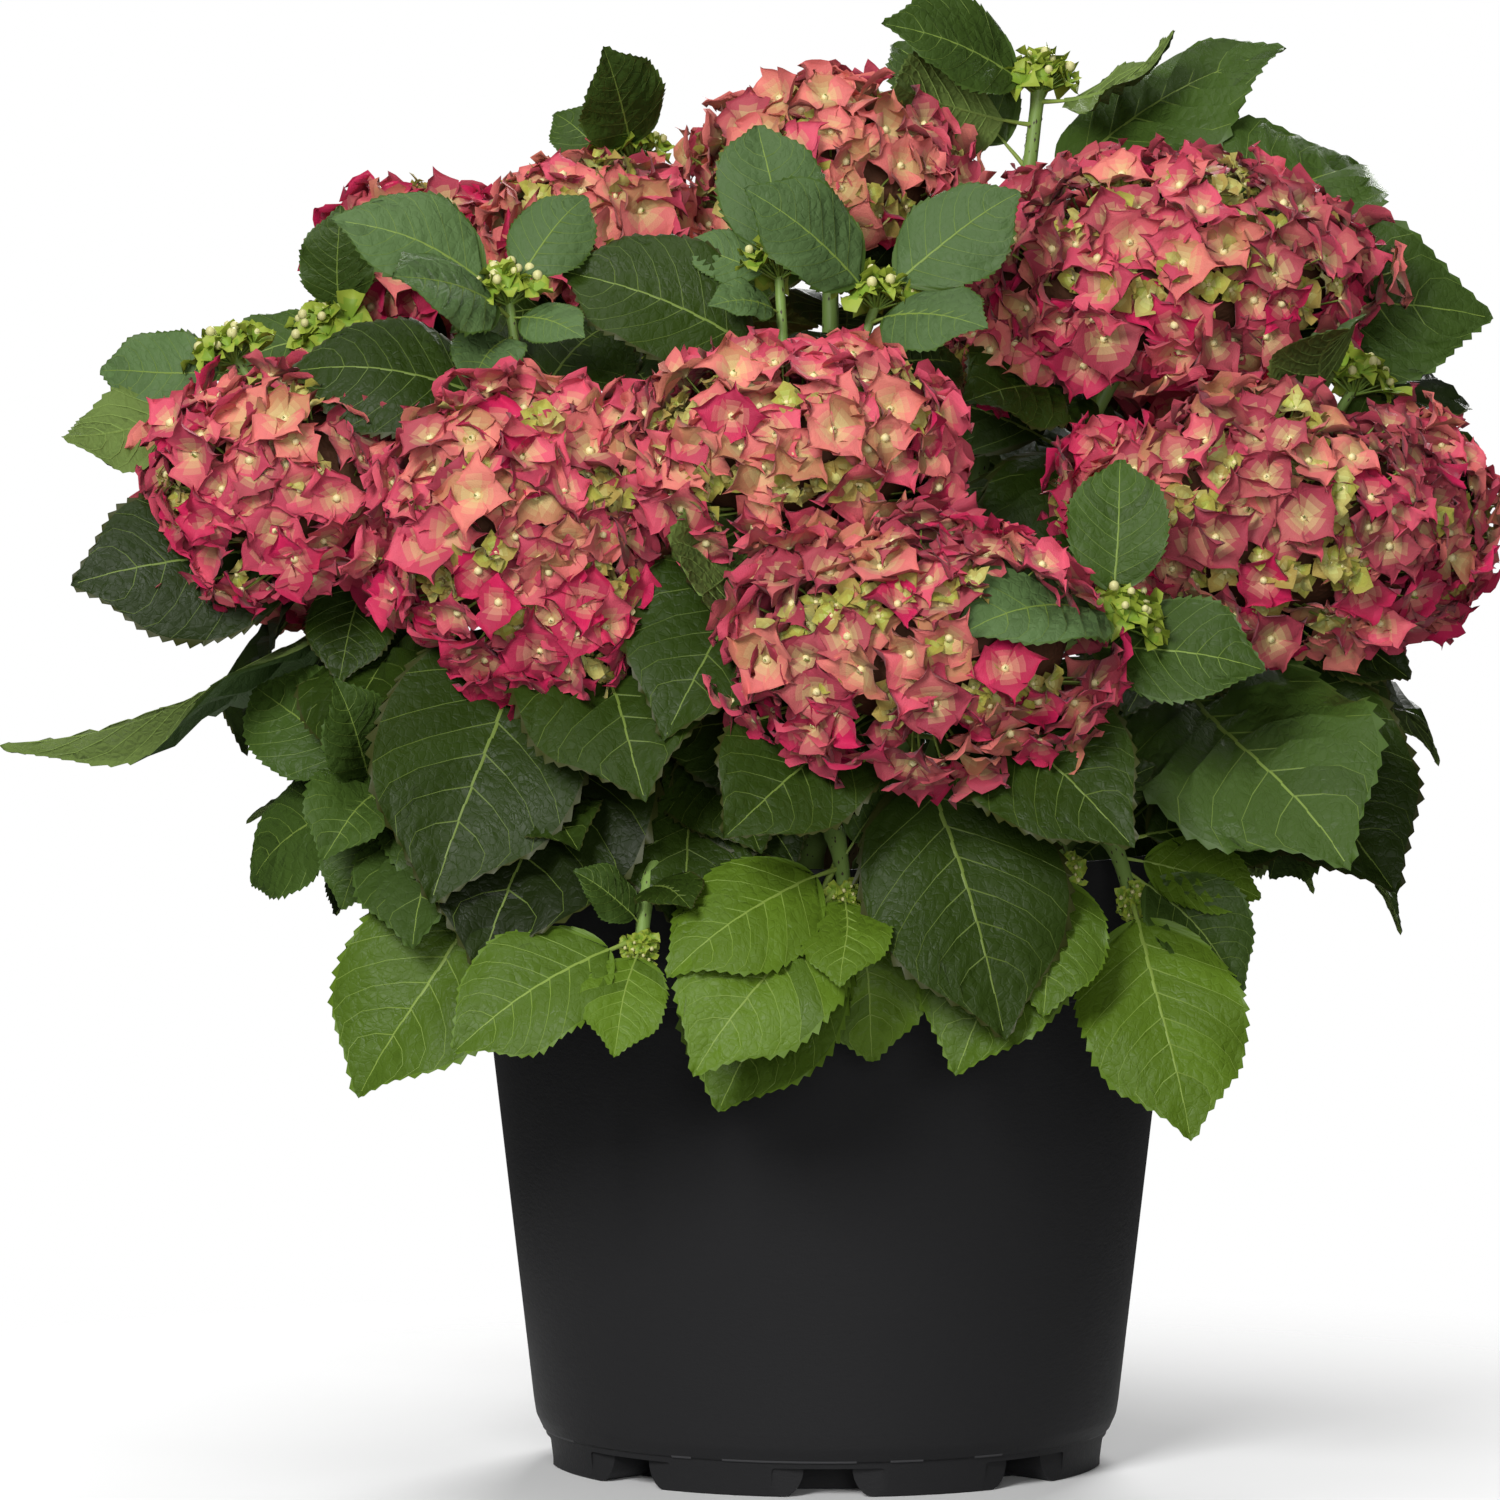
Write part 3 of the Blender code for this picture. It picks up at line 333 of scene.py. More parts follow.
# The plant. Feet are (x, y) on the soil, knees are the curve's middle control point, in millimetres.
SHOOTS = (
    bloom(
        "left", (-62, -20), (-150, -38, 372),
        (dome(-236, -90, 446, 67, 60, 54, (-0.5, -0.45, 0.75)),
         dome(-184, -110, 426, 24, 22, 27, (-0.1, -0.8, 0.4), "crimson")),
        # The first leaf here takes the deep look, darkened as painted shade.
        (leaf(0.80, -333, -110, 406, 62, "deep"), leaf(0.55, -365, -60, 320, -33, "turned"),
         leaf(0.66, -216, -112, 361), leaf(0.50, -237, -14, 352), leaf(0.34, -262, 20, 372)),
        pairs=1,
        twigs=(twig(0.52, (-266, -40, 503), (
            leaf(0.90, -326, -20, 494, 66), leaf(0.86, -339, -78, 466, 5, "turned"))),),
    ),
    bloom(
        "mid_left", (-50, -46), (-104, -78, 376),
        (dome(-136, -160, 432, 60, 54, 66, (-0.15, -0.7, 0.7)),
         dome(-112, -178, 392, 34, 30, 38, (0.1, -0.85, 0.3), "crimson")),
        # The last leaf here takes the deep look, darkened as painted shade.
        (leaf(0.62, -173, -235, 296), leaf(0.52, -78, -225, 301), leaf(0.20, -152, -205, 240, look="deep")),
        pairs=1,
        twigs=(twig(0.45, (-141, -108, 532), (
            leaf(0.97, -217, -118, 567), leaf(0.92, -190, -168, 541), leaf(0.98, -107, -84, 576),
            leaf(0.92, -107, -140, 514), leaf(0.86, -145, -160, 490),
            leaf(0.62, -238, -128, 482, look="old"), leaf(0.60, -90, -50, 520, look="old"))),),
    ),
    bloom(
        "centre", (-16, -52), (-14, -80, 400),
        (dome(-15, -180, 464, 74, 60, 50, (0.0, -0.55, 0.83), "salmon"),
         dome(-84, -172, 462, 24, 22, 32, (-0.2, -0.8, 0.5))),
        (leaf(0.66, -97, -238, 389), leaf(0.80, -51, -246, 378, look="turned"), leaf(0.44, 66, -150, 440)),
        pairs=1,
        twigs=(
            twig(0.34, (-22, -96, 543), (
                leaf(0.92, -31, -62, 606), leaf(0.95, -64, -92, 553), leaf(0.84, -52, -128, 528),
                leaf(0.66, -117, -96, 542, look="old"), leaf(0.60, -69, -132, 498))),
            twig(0.40, (22, -108, 530), (
                leaf(0.97, -36, -130, 579), leaf(0.97, 84, -100, 577), leaf(0.90, 68, -166, 520),
                leaf(0.72, 60, -70, 500, look="old"))),
        ),
    ),
    bloom(
        "front", (12, -78), (32, -128, 330),
        # Its dusky mood is partly the brown-pink of ageing sepals and partly painted shade for the front of
        # the plant.
        (dome(38, -232, 386, 84, 50, 54, (0.05, -0.8, 0.6), "dusky"),),
        (leaf(0.38, 76, -236, 217), leaf(0.66, 126, -274, 322), leaf(0.60, -46, -252, 303),
         leaf(0.20, -62, -150, 330)),
        pairs=1,
        twigs=(twig(0.30, (129, -208, 396), (
            leaf(0.93, 126, -186, 463), leaf(0.90, 56, -276, 396, look="over"), leaf(0.70, 182, -232, 392)),
            look="mid"),),
    ),
    bloom(
        "right_high", (26, 2), (92, -2, 440),
        # Its dusky mood is partly the brown-pink of ageing sepals and partly painted shade for the right of
        # the plant.
        (dome(152, -8, 535, 97, 82, 56, (0.25, -0.3, 0.92), "dusky"),
         dome(76, -34, 504, 27, 24, 22, (-0.4, -0.7, 0.3))),
        (leaf(0.55, 62, -84, 487), leaf(0.82, 301, 10, 524, look="mid"),
         leaf(0.80, 246, 84, 592, look="mid"), leaf(0.40, 107, -140, 411), leaf(0.62, 150, 100, 500),
         leaf(0.34, 40, 60, 480)),
        pairs=1,
    ),
    bloom(
        "right_low", (64, -34), (142, -52, 356),
        # Its dusky mood is partly the brown-pink of ageing sepals and partly painted shade for the right of
        # the plant.
        (dome(196, -108, 430, 86, 66, 60, (0.45, -0.5, 0.7), "dusky"),
         dome(262, -64, 430, 35, 36, 47, (0.85, -0.2, 0.5), "salmon"),
         dome(124, -98, 440, 24, 24, 36, (-0.5, -0.7, 0.2), "crimson")),
        (leaf(0.20, 222, -222, 299, look="mid"), leaf(0.36, 250, -130, 268), leaf(0.50, 258, -60, 308),
         leaf(0.72, 129, -182, 352), leaf(0.74, 240, -140, 362), leaf(0.86, 290, -40, 470)),
        pairs=1,
        twigs=(twig(0.60, (236, -52, 490), (
            # Leaves here without a look of their own take the deep look, darkened as painted shade.
            leaf(0.80, 229, -125, 516, look="over"), leaf(0.85, 284, 20, 497)), look="deep"),),
    ),
    bloom(
        "top", (4, 34), (2, 40, 470),
        (dome(2, 60, 576, 66, 56, 47, (0.0, -0.1, 1.0), "ripe"),),
        (leaf(0.72, 70, 30, 540), leaf(0.70, -62, 60, 535), leaf(0.55, 10, 150, 500),
         leaf(0.50, 0, -40, 478)),
        pairs=1,
    ),
    bloom(
        "top_left", (-26, 18), (-84, 22, 452),
        (dome(-106, 30, 556, 46, 44, 34, (-0.1, -0.2, 1.0), "ripe"),),
        (leaf(0.74, -160, -14, 540), leaf(0.60, -90, 110, 520)),
        pairs=1,
        twigs=(twig(0.50, (-88, 62, 590), (
            leaf(0.97, -100, 12, 638, 60), leaf(0.86, -140, 60, 588)), look="mid"),),
    ),
    bloom(
        "far_left", (-52, 30), (-122, 64, 452),
        (dome(-184, 92, 540, 48, 48, 36, (-0.5, 0.1, 0.9), "crimson"),),
        (leaf(0.62, -250, 140, 500), leaf(0.50, -170, -2, 488), leaf(0.72, -130, 150, 545)),
        pairs=1,
        twigs=(twig(0.48, (-226, 48, 512), (
            leaf(0.93, -220, 34, 566), leaf(0.80, -280, 50, 490)), look="mid"),),
    ),
    bloom(
        "inner", (-34, -70), (-52, -96, 330),
        (dome(-70, -140, 372, 34, 30, 24, (-0.1, -0.7, 0.7), "crimson"),),
        (leaf(0.50, -20, -205, 318), leaf(0.30, -63, -205, 262), leaf(0.40, -120, -120, 330)),
        pairs=1,
    ),
    bloom(
        "back_left", (-52, 66), (-120, 120, 380),
        (dome(-176, 186, 456, 72, 66, 52, (-0.55, 0.6, 0.6)),),
    ),
    bloom(
        "back", (-8, 84), (-14, 150, 350),
        (dome(-20, 236, 420, 80, 62, 54, (0.0, 0.8, 0.6), "salmon"),),
        twigs=(twig(0.40, (-80, 214, 512)),),
    ),
    bloom(
        "back_right", (44, 62), (96, 118, 400),
        (dome(142, 186, 462, 74, 66, 52, (0.4, 0.65, 0.65)),),
        twigs=(twig(0.42, (60, 190, 540)),),
    ),
    bloom(
        "side_right", (78, 22), (154, 44, 350),
        (dome(226, 76, 414, 54, 62, 46, (0.85, 0.25, 0.5), "crimson"),),
    ),
    bloom(
        "side_left", (-84, 18), (-158, 46, 350),
        (dome(-232, 66, 424, 50, 58, 42, (-0.85, 0.15, 0.5)),),
    ),
    leafy(
        "high_right", (10, 12), (78, 84, 430), (98, 100, 622),
        (leaf(0.97, 27, 62, 650), leaf(0.90, 36, 40, 628, look="turned"),
         leaf(0.95, 160, 52, 641, look="turned"), leaf(0.70, 208, 92, 641, 30),
         leaf(0.80, 15, 118, 626), leaf(0.62, 150, 160, 560)),
        pairs=1, part=0.46,
    ),
    leafy("middle", (-36, -6), (-70, -14, 420), (-92, -30, 500), pairs=2, look="old"),
    leafy(
        "low_left", (-92, -46), (-160, -96, 336), (-203, -120, 312),
        (leaf(0.90, -262, -90, 366, 80), leaf(0.97, -214, -152, 363), leaf(0.86, -262, -70, 270),
         leaf(0.80, -215, -128, 262), leaf(0.60, -160, -172, 272), leaf(0.70, -240, -160, 300)),
        pairs=1,
    ),
    leafy(
        "rim_left", (-84, -68), (-118, -126, 340), (-136, -148, 292),
        (leaf(0.95, -207, -176, 185), leaf(0.60, -216, -110, 262, look="mid"),
         leaf(0.80, -110, -214, 300, look="old")),
        pairs=0, look="young",
    ),
    leafy(
        "rim_front_left", (-58, -92), (-74, -162, 342), (-82, -204, 250),
        (leaf(0.94, -163, -230, 210), leaf(0.97, -93, -246, 209),
         leaf(0.90, -110, -212, 286, look="mid"), leaf(0.72, -52, -232, 282, look="old")),
        pairs=0, look="young",
    ),
    leafy(
        "rim_front", (-14, -104), (0, -168, 340), (7, -200, 272),
        (leaf(0.90, -59, -256, 206), leaf(0.97, 4, -254, 240), leaf(0.80, -78, -228, 246),
         leaf(0.72, -48, -206, 180), leaf(0.66, 22, -212, 204), leaf(0.76, 40, -176, 330, look="mid")),
        pairs=0, look="young",
    ),
    leafy(
        "rim_front_right", (60, -86), (92, -150, 338), (103, -178, 282),
        (leaf(0.90, 92, -226, 224), leaf(0.80, 54, -212, 198), leaf(0.72, 128, -200, 330, look="old")),
        pairs=0, look="young",
    ),
    leafy(
        "rim_right", (86, -66), (118, -130, 336), (132, -158, 268),
        (leaf(0.90, 157, -216, 173), leaf(0.80, 184, -172, 234, look="mid"), leaf(0.72, 190, -150, 270),
         leaf(0.60, 206, -100, 300, look="old")),
        pairs=0, look="young",
    ),
    leafy("rim_side_right", (108, 12), (176, 30, 345), (196, 34, 302), pairs=2),
    leafy("rim_back_right", (82, 84), (130, 142, 345), (150, 162, 300), pairs=2, look="young"),
    leafy("rim_back", (4, 118), (8, 186, 345), (10, 216, 296), pairs=2),
    leafy("rim_back_left", (-82, 86), (-128, 136, 345), (-152, 160, 296), pairs=2, look="young"),
    leafy("rim_side_left", (-112, 4), (-172, 6, 345), (-194, 8, 302), pairs=2),
)


def mass_name(shoot):
    """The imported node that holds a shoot's leaves and flowers."""
    return ("bloom_" if shoot.domes else "shoot_") + shoot.name


DOMES = [top for shoot in SHOOTS for top in shoot.domes]
MASSES = [mass_name(shoot) for shoot in SHOOTS]
FLOWERING = [mass_name(shoot) for shoot in SHOOTS if shoot.domes]
BUDDED = [mass_name(shoot) for shoot in SHOOTS if shoot.twigs or not shoot.domes]


# ---------------------------------------------------------------- sizes and colours

def tone(red, green, blue):
    """A screen colour from 0 to 255 as the linear colour that materials use."""
    return tuple(
        share / 12.92 if share <= 0.04045 else ((share + 0.055) / 1.055) ** 2.4
        for share in (red / 255.0, green / 255.0, blue / 255.0)
    )


def colour(name, description, default):
    return FloatVectorProperty(
        name=name, description=description, default=default, subtype="COLOR", size=3, min=0.0, max=1.0)


def length(name, description, default):
    return FloatProperty(name=name, description=description, default=default, min=0.0, unit="LENGTH")


class ShrubSizes(PropertyGroup):
    floret_radius: length("Floret radius", "From a floret's bead to the tip of a sepal", 0.0166)
    floret_spacing: length("Floret spacing", "How far apart neighbouring florets grow", 0.0154)
    floret_bead: length("Floret bead", "Radius of the bead in the heart of a floret", 0.0020)
    bud_bead: length("Bud", "Radius of one closed bud", 0.0022)
    bud_bract: length("Bract", "Half width of a frilly bract between the buds", 0.0090)
    tooth: length("Leaf tooth", "How far the teeth stand out from a leaf's edge", 0.0023)
    vein: length("Leaf vein", "How far the midrib stands up from a leaf", 0.0007)
    quilting: length("Leaf quilting", "How far a leaf swells between its side veins", 0.0027)


class ShrubColours(PropertyGroup):
    # Deep green is the dark tone of the oldest leaves, darkened further as painted shade for leaves that
    # stand in shade.
    deep_green: colour("Deep green", "Oldest, shaded leaves", tone(26, 37, 9))
    old_green: colour("Old green", "Full-grown leaves", tone(38, 54, 12))
    mid_green: colour("Mid green", "Leaves of new shoots", tone(60, 82, 30))
    blue_green: colour("Blue green", "Leaves of the top shoots", tone(80, 104, 60))
    # Blue green is the green of the top shoots, with the whitish-blue sheen of their upper sides painted in.
    young_green: colour("Young green", "Fresh leaves at the rim", tone(80, 105, 26))
    underside: colour("Underside", "Matte lower side of a leaf", tone(100, 119, 58))
    vein_green: colour("Vein green", "Veins and stalks", tone(134, 156, 70))
    edge_brown: colour("Edge brown", "Dry teeth along an old leaf", tone(104, 70, 48))
    coral: colour("Coral", "Dusty pink sepals", tone(202, 80, 100))
    salmon: colour("Salmon", "Ripening sepals", tone(208, 118, 106))
    crimson: colour("Crimson", "Vivid sepals on the shaded side", tone(188, 26, 78))
    dusky: colour("Dusky", "Ageing brown-pink sepals", tone(160, 68, 78))
    lime: colour("Lime", "Unripe yellow-green sepals", tone(154, 164, 60))
    cream: colour("Cream", "Beads and the hearts of florets", tone(226, 214, 158))
    bud_green: colour("Bud green", "Bracts between the buds", tone(118, 146, 46))
    stem_green: colour("Stem green", "Young stems and twigs", tone(120, 148, 74))
    bark_brown: colour("Bark brown", "Old wood at the foot", tone(116, 98, 70))
    pot_black: colour("Pot black", "Moulded plastic of the pot", tone(36, 36, 37))
    soil_brown: colour("Soil brown", "Potting soil", tone(66, 50, 38))
    floor_white: colour("Floor white", "Studio floor", tone(246, 246, 246))


def mixed(first, second, share):
    """A colour part of the way from one to another."""
    return tuple(a + (b - a) * share for a, b in zip(first, second))


def shaded(base, strength):
    return tuple(min(1.0, value * strength) for value in base)


# ---------------------------------------------------------------- shader maths

class Value:
    """A varying number or colour inside a material. Sums written with it add their own nodes."""

    def __init__(self, finish, socket):
        self.finish = finish
        self.socket = socket

    def joined(self, operation, first, second):
        return self.finish.node("ShaderNodeMath", {"operation": operation}, [first, second])

    def __add__(self, other):
        return self.joined("ADD", self, other)

    def __mul__(self, other):
        return self.joined("MULTIPLY", self, other)

    def __sub__(self, other):
        return self.joined("SUBTRACT", self, other)

    def __rsub__(self, other):
        return self.joined("SUBTRACT", other, self)

    __radd__ = __add__
    __rmul__ = __mul__


class Finish:
    """A material and the nodes that make it."""

    def __init__(self, name, base, roughness, **plain):
        self.material = bpy.data.materials.new(name)
        self.material.use_nodes = True
        self.tree = self.material.node_tree
        self.shader = self.tree.nodes["Principled BSDF"]
        self.material.diffuse_color = (*base, 1.0)
        self.feed("Base Color", (*base, 1.0))
        self.feed("Roughness", roughness)
        for socket, value in plain.items():
            self.feed(socket.replace("_", " "), value)

    def put(self, socket, value):
        if isinstance(value, Value):
            self.tree.links.new(value.socket, socket)
        else:
            socket.default_value = value

    def feed(self, name, value):
        self.put(self.shader.inputs[name], value)

    def node(self, kind, settings=None, inputs=(), output=0):
        """Add a node: its settings first, then the values or links of its sockets."""
        node = self.tree.nodes.new(kind)
        for name, value in (settings or {}).items():
            setattr(node, name, value)
        pairs = inputs.items() if isinstance(inputs, dict) else enumerate(inputs)
        for name, value in pairs:
            self.put(node.inputs[name], value)
        return Value(self, node.outputs[output])

    def place(self, stretch=(1.0, 1.0, 1.0)):
        """Where a point of the surface is, in metres, stretched along each axis."""
        spot = self.node("ShaderNodeTexCoord", output="Object")
        return self.node("ShaderNodeVectorMath", {"operation": "MULTIPLY"}, [spot, stretch])

    def noise(self, grain, detail=2.0, stretch=(1.0, 1.0, 1.0)):
        """Soft random mottling from 0 to 1, with grains of that size in metres."""
        return self.node(
            "ShaderNodeTexNoise", None,
            {"Vector": self.place(stretch), "Scale": 1.0 / grain, "Detail": detail})

    def cells(self, grain, feature="F1"):
        """Distance from the middle of the nearest cell, with cells of that size in metres."""
        return self.node(
            "ShaderNodeTexVoronoi", {"feature": feature},
            {"Vector": self.place(), "Scale": 1.0 / grain})

    def blend(self, share, first, second):
        """A colour between two, by a varying share."""
        return self.node(
            "ShaderNodeMix", {"data_type": "RGBA"}, {0: share, 6: first, 7: second}, output=2)

    def relief(self, height, depth):
        """Raise the surface where the height is more, by up to that many metres."""
        bump = self.node(
            "ShaderNodeBump", None, {"Height": height, "Distance": depth, "Strength": 1.0})
        self.feed("Normal", bump)


NET_GROOVE = 0.14


def blade_finish(name, base, gloss):
    """The upper side of a leaf: a net of fine veins between small swellings, and a broken sheen."""
    finish = Finish(name, base, gloss, Specular_IOR_Level=0.17)
    net = finish.cells(0.0068, "DISTANCE_TO_EDGE")
    groove = finish.node("ShaderNodeMapRange", None, {
        "Value": finish.cells(0.0036, "DISTANCE_TO_EDGE"), "From Max": NET_GROOVE})
    cloud = finish.noise(0.014)
    finish.feed("Roughness", cloud * 0.30 + (gloss - 0.16))
    finish.relief(net * 1.5 + groove * 0.16 + cloud * 0.8, 0.00060)
    return finish.material


def underside_finish(name, base):
    """The matte lower side of a leaf, with its raised net of veins."""
    finish = Finish(name, base, 0.72, Specular_IOR_Level=0.2)
    net = finish.cells(0.0036, "DISTANCE_TO_EDGE")
    finish.feed("Roughness", finish.noise(0.008) * 0.16 + 0.64)
    finish.relief(1.0 - net * 2.0, 0.00035)
    return finish.material


def vein_finish(name, base):
    finish = Finish(name, base, 0.55, Specular_IOR_Level=0.25)
    mottle = finish.noise(0.0035)
    finish.feed("Roughness", mottle * 0.2 + 0.4)
    finish.relief(mottle, 0.00015)
    return finish.material


def sepal_finish(name, base):
    """A soft sepal: matte, finely veined and a little crumpled."""
    finish = Finish(name, base, 0.6, Specular_IOR_Level=0.2, Sheen_Weight=0.08, Sheen_Roughness=0.5)
    crumple = finish.noise(0.0034, 3.0)
    thread = finish.cells(0.0011, "DISTANCE_TO_EDGE")
    finish.feed("Roughness", crumple * 0.25 + 0.48)
    finish.relief(crumple + thread * 0.8, 0.00030)
    return finish.material


def bead_finish(name, base):
    """A waxy closed bud or bead."""
    finish = Finish(name, base, 0.42, Specular_IOR_Level=0.4, Coat_Weight=0.1, Coat_Roughness=0.3)
    speckle = finish.noise(0.0009)
    finish.feed("Roughness", speckle * 0.2 + 0.34)
    finish.relief(speckle, 0.00010)
    return finish.material


def stem_finish(name, base, ribbing):
    """A young stem: satin, with long shallow ribs."""
    finish = Finish(name, base, 0.5, Specular_IOR_Level=0.35)
    ribs = finish.noise(0.0026, 2.0, (1.0, 1.0, 0.16))
    mottle = finish.noise(0.006)
    finish.feed("Roughness", mottle * 0.25 + 0.38)
    finish.relief(ribs + mottle * 0.4, ribbing)
    return finish.material


def plastic_finish(name, base):
    """Black moulded plastic with a fine level grain, scuffed dull in patches."""
    finish = Finish(name, base, 0.5, Specular_IOR_Level=0.05)
    grain = finish.noise(0.0016, 3.0, (0.35, 0.35, 1.0))
    pebble = finish.noise(0.0011, 2.0)
    scuff = finish.noise(0.05, 4.0, (1.0, 1.0, 0.6))
    finish.feed("Roughness", grain * 0.10 + scuff * 0.12 + 0.38)
    finish.relief(grain * 0.7 + pebble * 0.5, 0.00022)
    return finish.material


def soil_finish(name, base):
    """Damp crumbly soil with paler fibres."""
    finish = Finish(name, base, 0.95, Specular_IOR_Level=0.2)
    clod = finish.noise(0.006, 6.0)
    fibre = finish.noise(0.0018, 2.0, (0.4, 1.0, 1.0))
    dark = (*shaded(base, 0.45), 1.0)
    pale = (*shaded(base, 1.9), 1.0)
    finish.feed("Base Color", finish.blend(clod * 0.7 + fibre * 0.3, dark, pale))
    finish.feed("Roughness", clod * 0.2 + 0.8)
    finish.relief(clod + fibre * 0.5, 0.0012)
    return finish.material


# ---------------------------------------------------------------- gathering surfaces into pieces

class Sheaf:
    """Loose surfaces gathered into one piece, each face with its own finish."""

    def __init__(self):
        self.points = []
        self.quads = []
        self.tris = []
        self.quad_slots = []
        self.tri_slots = []
        self.count = 0

    def add(self, points, quads=(), quad_slots=0, tris=(), tri_slots=0):
        """Add a surface. The slots are one number for all its faces or one for each."""
        for faces, slots, width, kept, kept_slots in (
            (quads, quad_slots, 4, self.quads, self.quad_slots),
            (tris, tri_slots, 3, self.tris, self.tri_slots),
        ):
            if len(faces):
                faces = np.asarray(faces, int).reshape(-1, width)
                kept.append(faces + self.count)
                kept_slots.append(np.broadcast_to(np.asarray(slots, int), (len(faces),)))
        self.points.append(np.asarray(points, float))
        self.count += len(points)

    def piece(self, name, materials, smooth=True):
        """One mesh object of everything gathered."""
        points = np.concatenate(self.points)
        tris = np.concatenate(self.tris) if self.tris else np.zeros((0, 3), int)
        quads = np.concatenate(self.quads) if self.quads else np.zeros((0, 4), int)
        starts = np.concatenate([
            np.arange(len(tris)) * 3, len(tris) * 3 + np.arange(len(quads)) * 4])
        mesh = bpy.data.meshes.new(name)
        mesh.vertices.add(len(points))
        mesh.vertices.foreach_set("co", points.astype(np.float32).ravel())
        mesh.loops.add(len(tris) * 3 + len(quads) * 4)
        corners = np.concatenate([tris.ravel(), quads.ravel()]).astype(np.int32)
        mesh.loops.foreach_set("vertex_index", corners)
        mesh.polygons.add(len(starts))
        mesh.polygons.foreach_set("loop_start", starts.astype(np.int32))
        slots = np.concatenate([*self.tri_slots, *self.quad_slots]).astype(np.int32)
        mesh.polygons.foreach_set("material_index", slots)
        mesh.polygons.foreach_set("use_smooth", np.full(len(starts), smooth))
        mesh.update(calc_edges=True)
        mesh.validate()
        for material in materials:
            mesh.materials.append(material)
        item = bpy.data.objects.new(name, mesh)
        bpy.context.scene.collection.objects.link(item)
        return item


def finish_piece(item, nodes):
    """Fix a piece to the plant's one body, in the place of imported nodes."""
    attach(item, "root")
    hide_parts(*nodes)


def ring_faces(rings, sides, closed=True):
    """The quads between stacked rings of points."""
    step = np.arange(sides if closed else sides - 1)
    after = (step + 1) % sides
    low = (np.arange(rings - 1) * sides)[:, None]
    high = low + sides
    return np.stack([low + step, low + after, high + after, high + step], -1).reshape(-1, 4)


# ---------------------------------------------------------------- pot and soil

def turned(profile, sides):
    """A turned surface of a profile of (radius, height) points, from axis to axis."""
    angle = 2.0 * pi * (np.arange(sides) + 0.5) / sides
    rows = [
        np.stack([radius * np.cos(angle), radius * np.sin(angle), np.full(sides, height)], -1)
        for radius, height in profile
    ]
    return np.concatenate(rows), ring_faces(len(rows), sides)


def inner_radius(height):
    """Radius of the pot's inside wall at a height below the rim band."""
    share = (height - BODY_FOOT_HEIGHT) / (RIM_FOOT_HEIGHT - BODY_FOOT_HEIGHT)
    return BODY_FOOT_RADIUS + share * (BODY_TOP_RADIUS - BODY_FOOT_RADIUS) - POT_WALL


def rounded(profile, corner, steps=3):
    """The profile with each inner corner turned into a small arc."""
    path = [Vector(point) for point in profile]
    smooth = [path[0]]
    for before, here, after in zip(path, path[1:], path[2:]):
        reach = min(corner, CORNER_SHARE * (here - before).length, CORNER_SHARE * (after - here).length)
        start = here + (before - here).normalized() * reach
        end = here + (after - here).normalized() * reach
        for step in range(steps + 1):
            share = step / steps
            rest = 1.0 - share
            smooth.append(start * rest * rest + here * 2.0 * rest * share + end * share * share)
    smooth.append(path[-1])
    return [(point.x, point.y) for point in smooth]


def pot_profile():
    step = RIM_FOOT_HEIGHT + POT_WALL
    outer = [
        (AXIS_HOLE, 0.0), (FOOT_RADIUS, 0.0), (FOOT_TOP_RADIUS, LEDGE_HEIGHT),
        (LEDGE_RADIUS, LEDGE_HEIGHT + LEDGE_SLOPE),
        (BODY_FOOT_RADIUS - SHOULDER_INSET, BODY_FOOT_HEIGHT - SHOULDER_DROP),
        (BODY_FOOT_RADIUS, BODY_FOOT_HEIGHT), (BODY_TOP_RADIUS, RIM_FOOT_HEIGHT),
        (RIM_FOOT_RADIUS, RIM_FOOT_HEIGHT), (RIM_RADIUS, POT_HEIGHT),
        (RIM_RADIUS - POT_WALL, POT_HEIGHT), (RIM_FOOT_RADIUS - POT_WALL, step),
        (inner_radius(step), step), (inner_radius(FLOOR_HEIGHT), FLOOR_HEIGHT), (AXIS_HOLE, FLOOR_HEIGHT),
    ]
    return rounded(outer, POT_CORNER)


def notch_cutter(name, outline, depth):
    """Prisms that cut radially into the foot, one for each notch. The outline is (across, height)."""
    outer = FOOT_TOP_RADIUS + CUT_MARGIN
    inner = FOOT_TOP_RADIUS - depth
    shell = bmesh.new()
    for notch in range(NOTCHES):
        turn = Matrix.Rotation(2.0 * pi * notch / NOTCHES - pi / 2.0, 4, "Z")
        rings = [
            [shell.verts.new(turn @ Vector((radius, across, height))) for across, height in outline]
            for radius in (inner, outer)
        ]
        shell.faces.new(rings[0])
        shell.faces.new(reversed(rings[1]))
        for corner in range(len(outline)):
            before = corner - 1
            shell.faces.new((rings[0][before], rings[1][before], rings[1][corner], rings[0][corner]))
    bmesh.ops.recalc_face_normals(shell, faces=shell.faces)
    mesh = bpy.data.meshes.new(name)
    shell.to_mesh(mesh)
    shell.free()
    return bpy.data.objects.new(name, mesh)


def recess_outline():
    """A shallow box with rounded upper corners."""
    half = NOTCH_RECESS_HALF_WIDTH
    box = [(half, -CUT_MARGIN), (half, NOTCH_HEIGHT), (-half, NOTCH_HEIGHT), (-half, -CUT_MARGIN)]
    return rounded(box, NOTCH_ROUND)


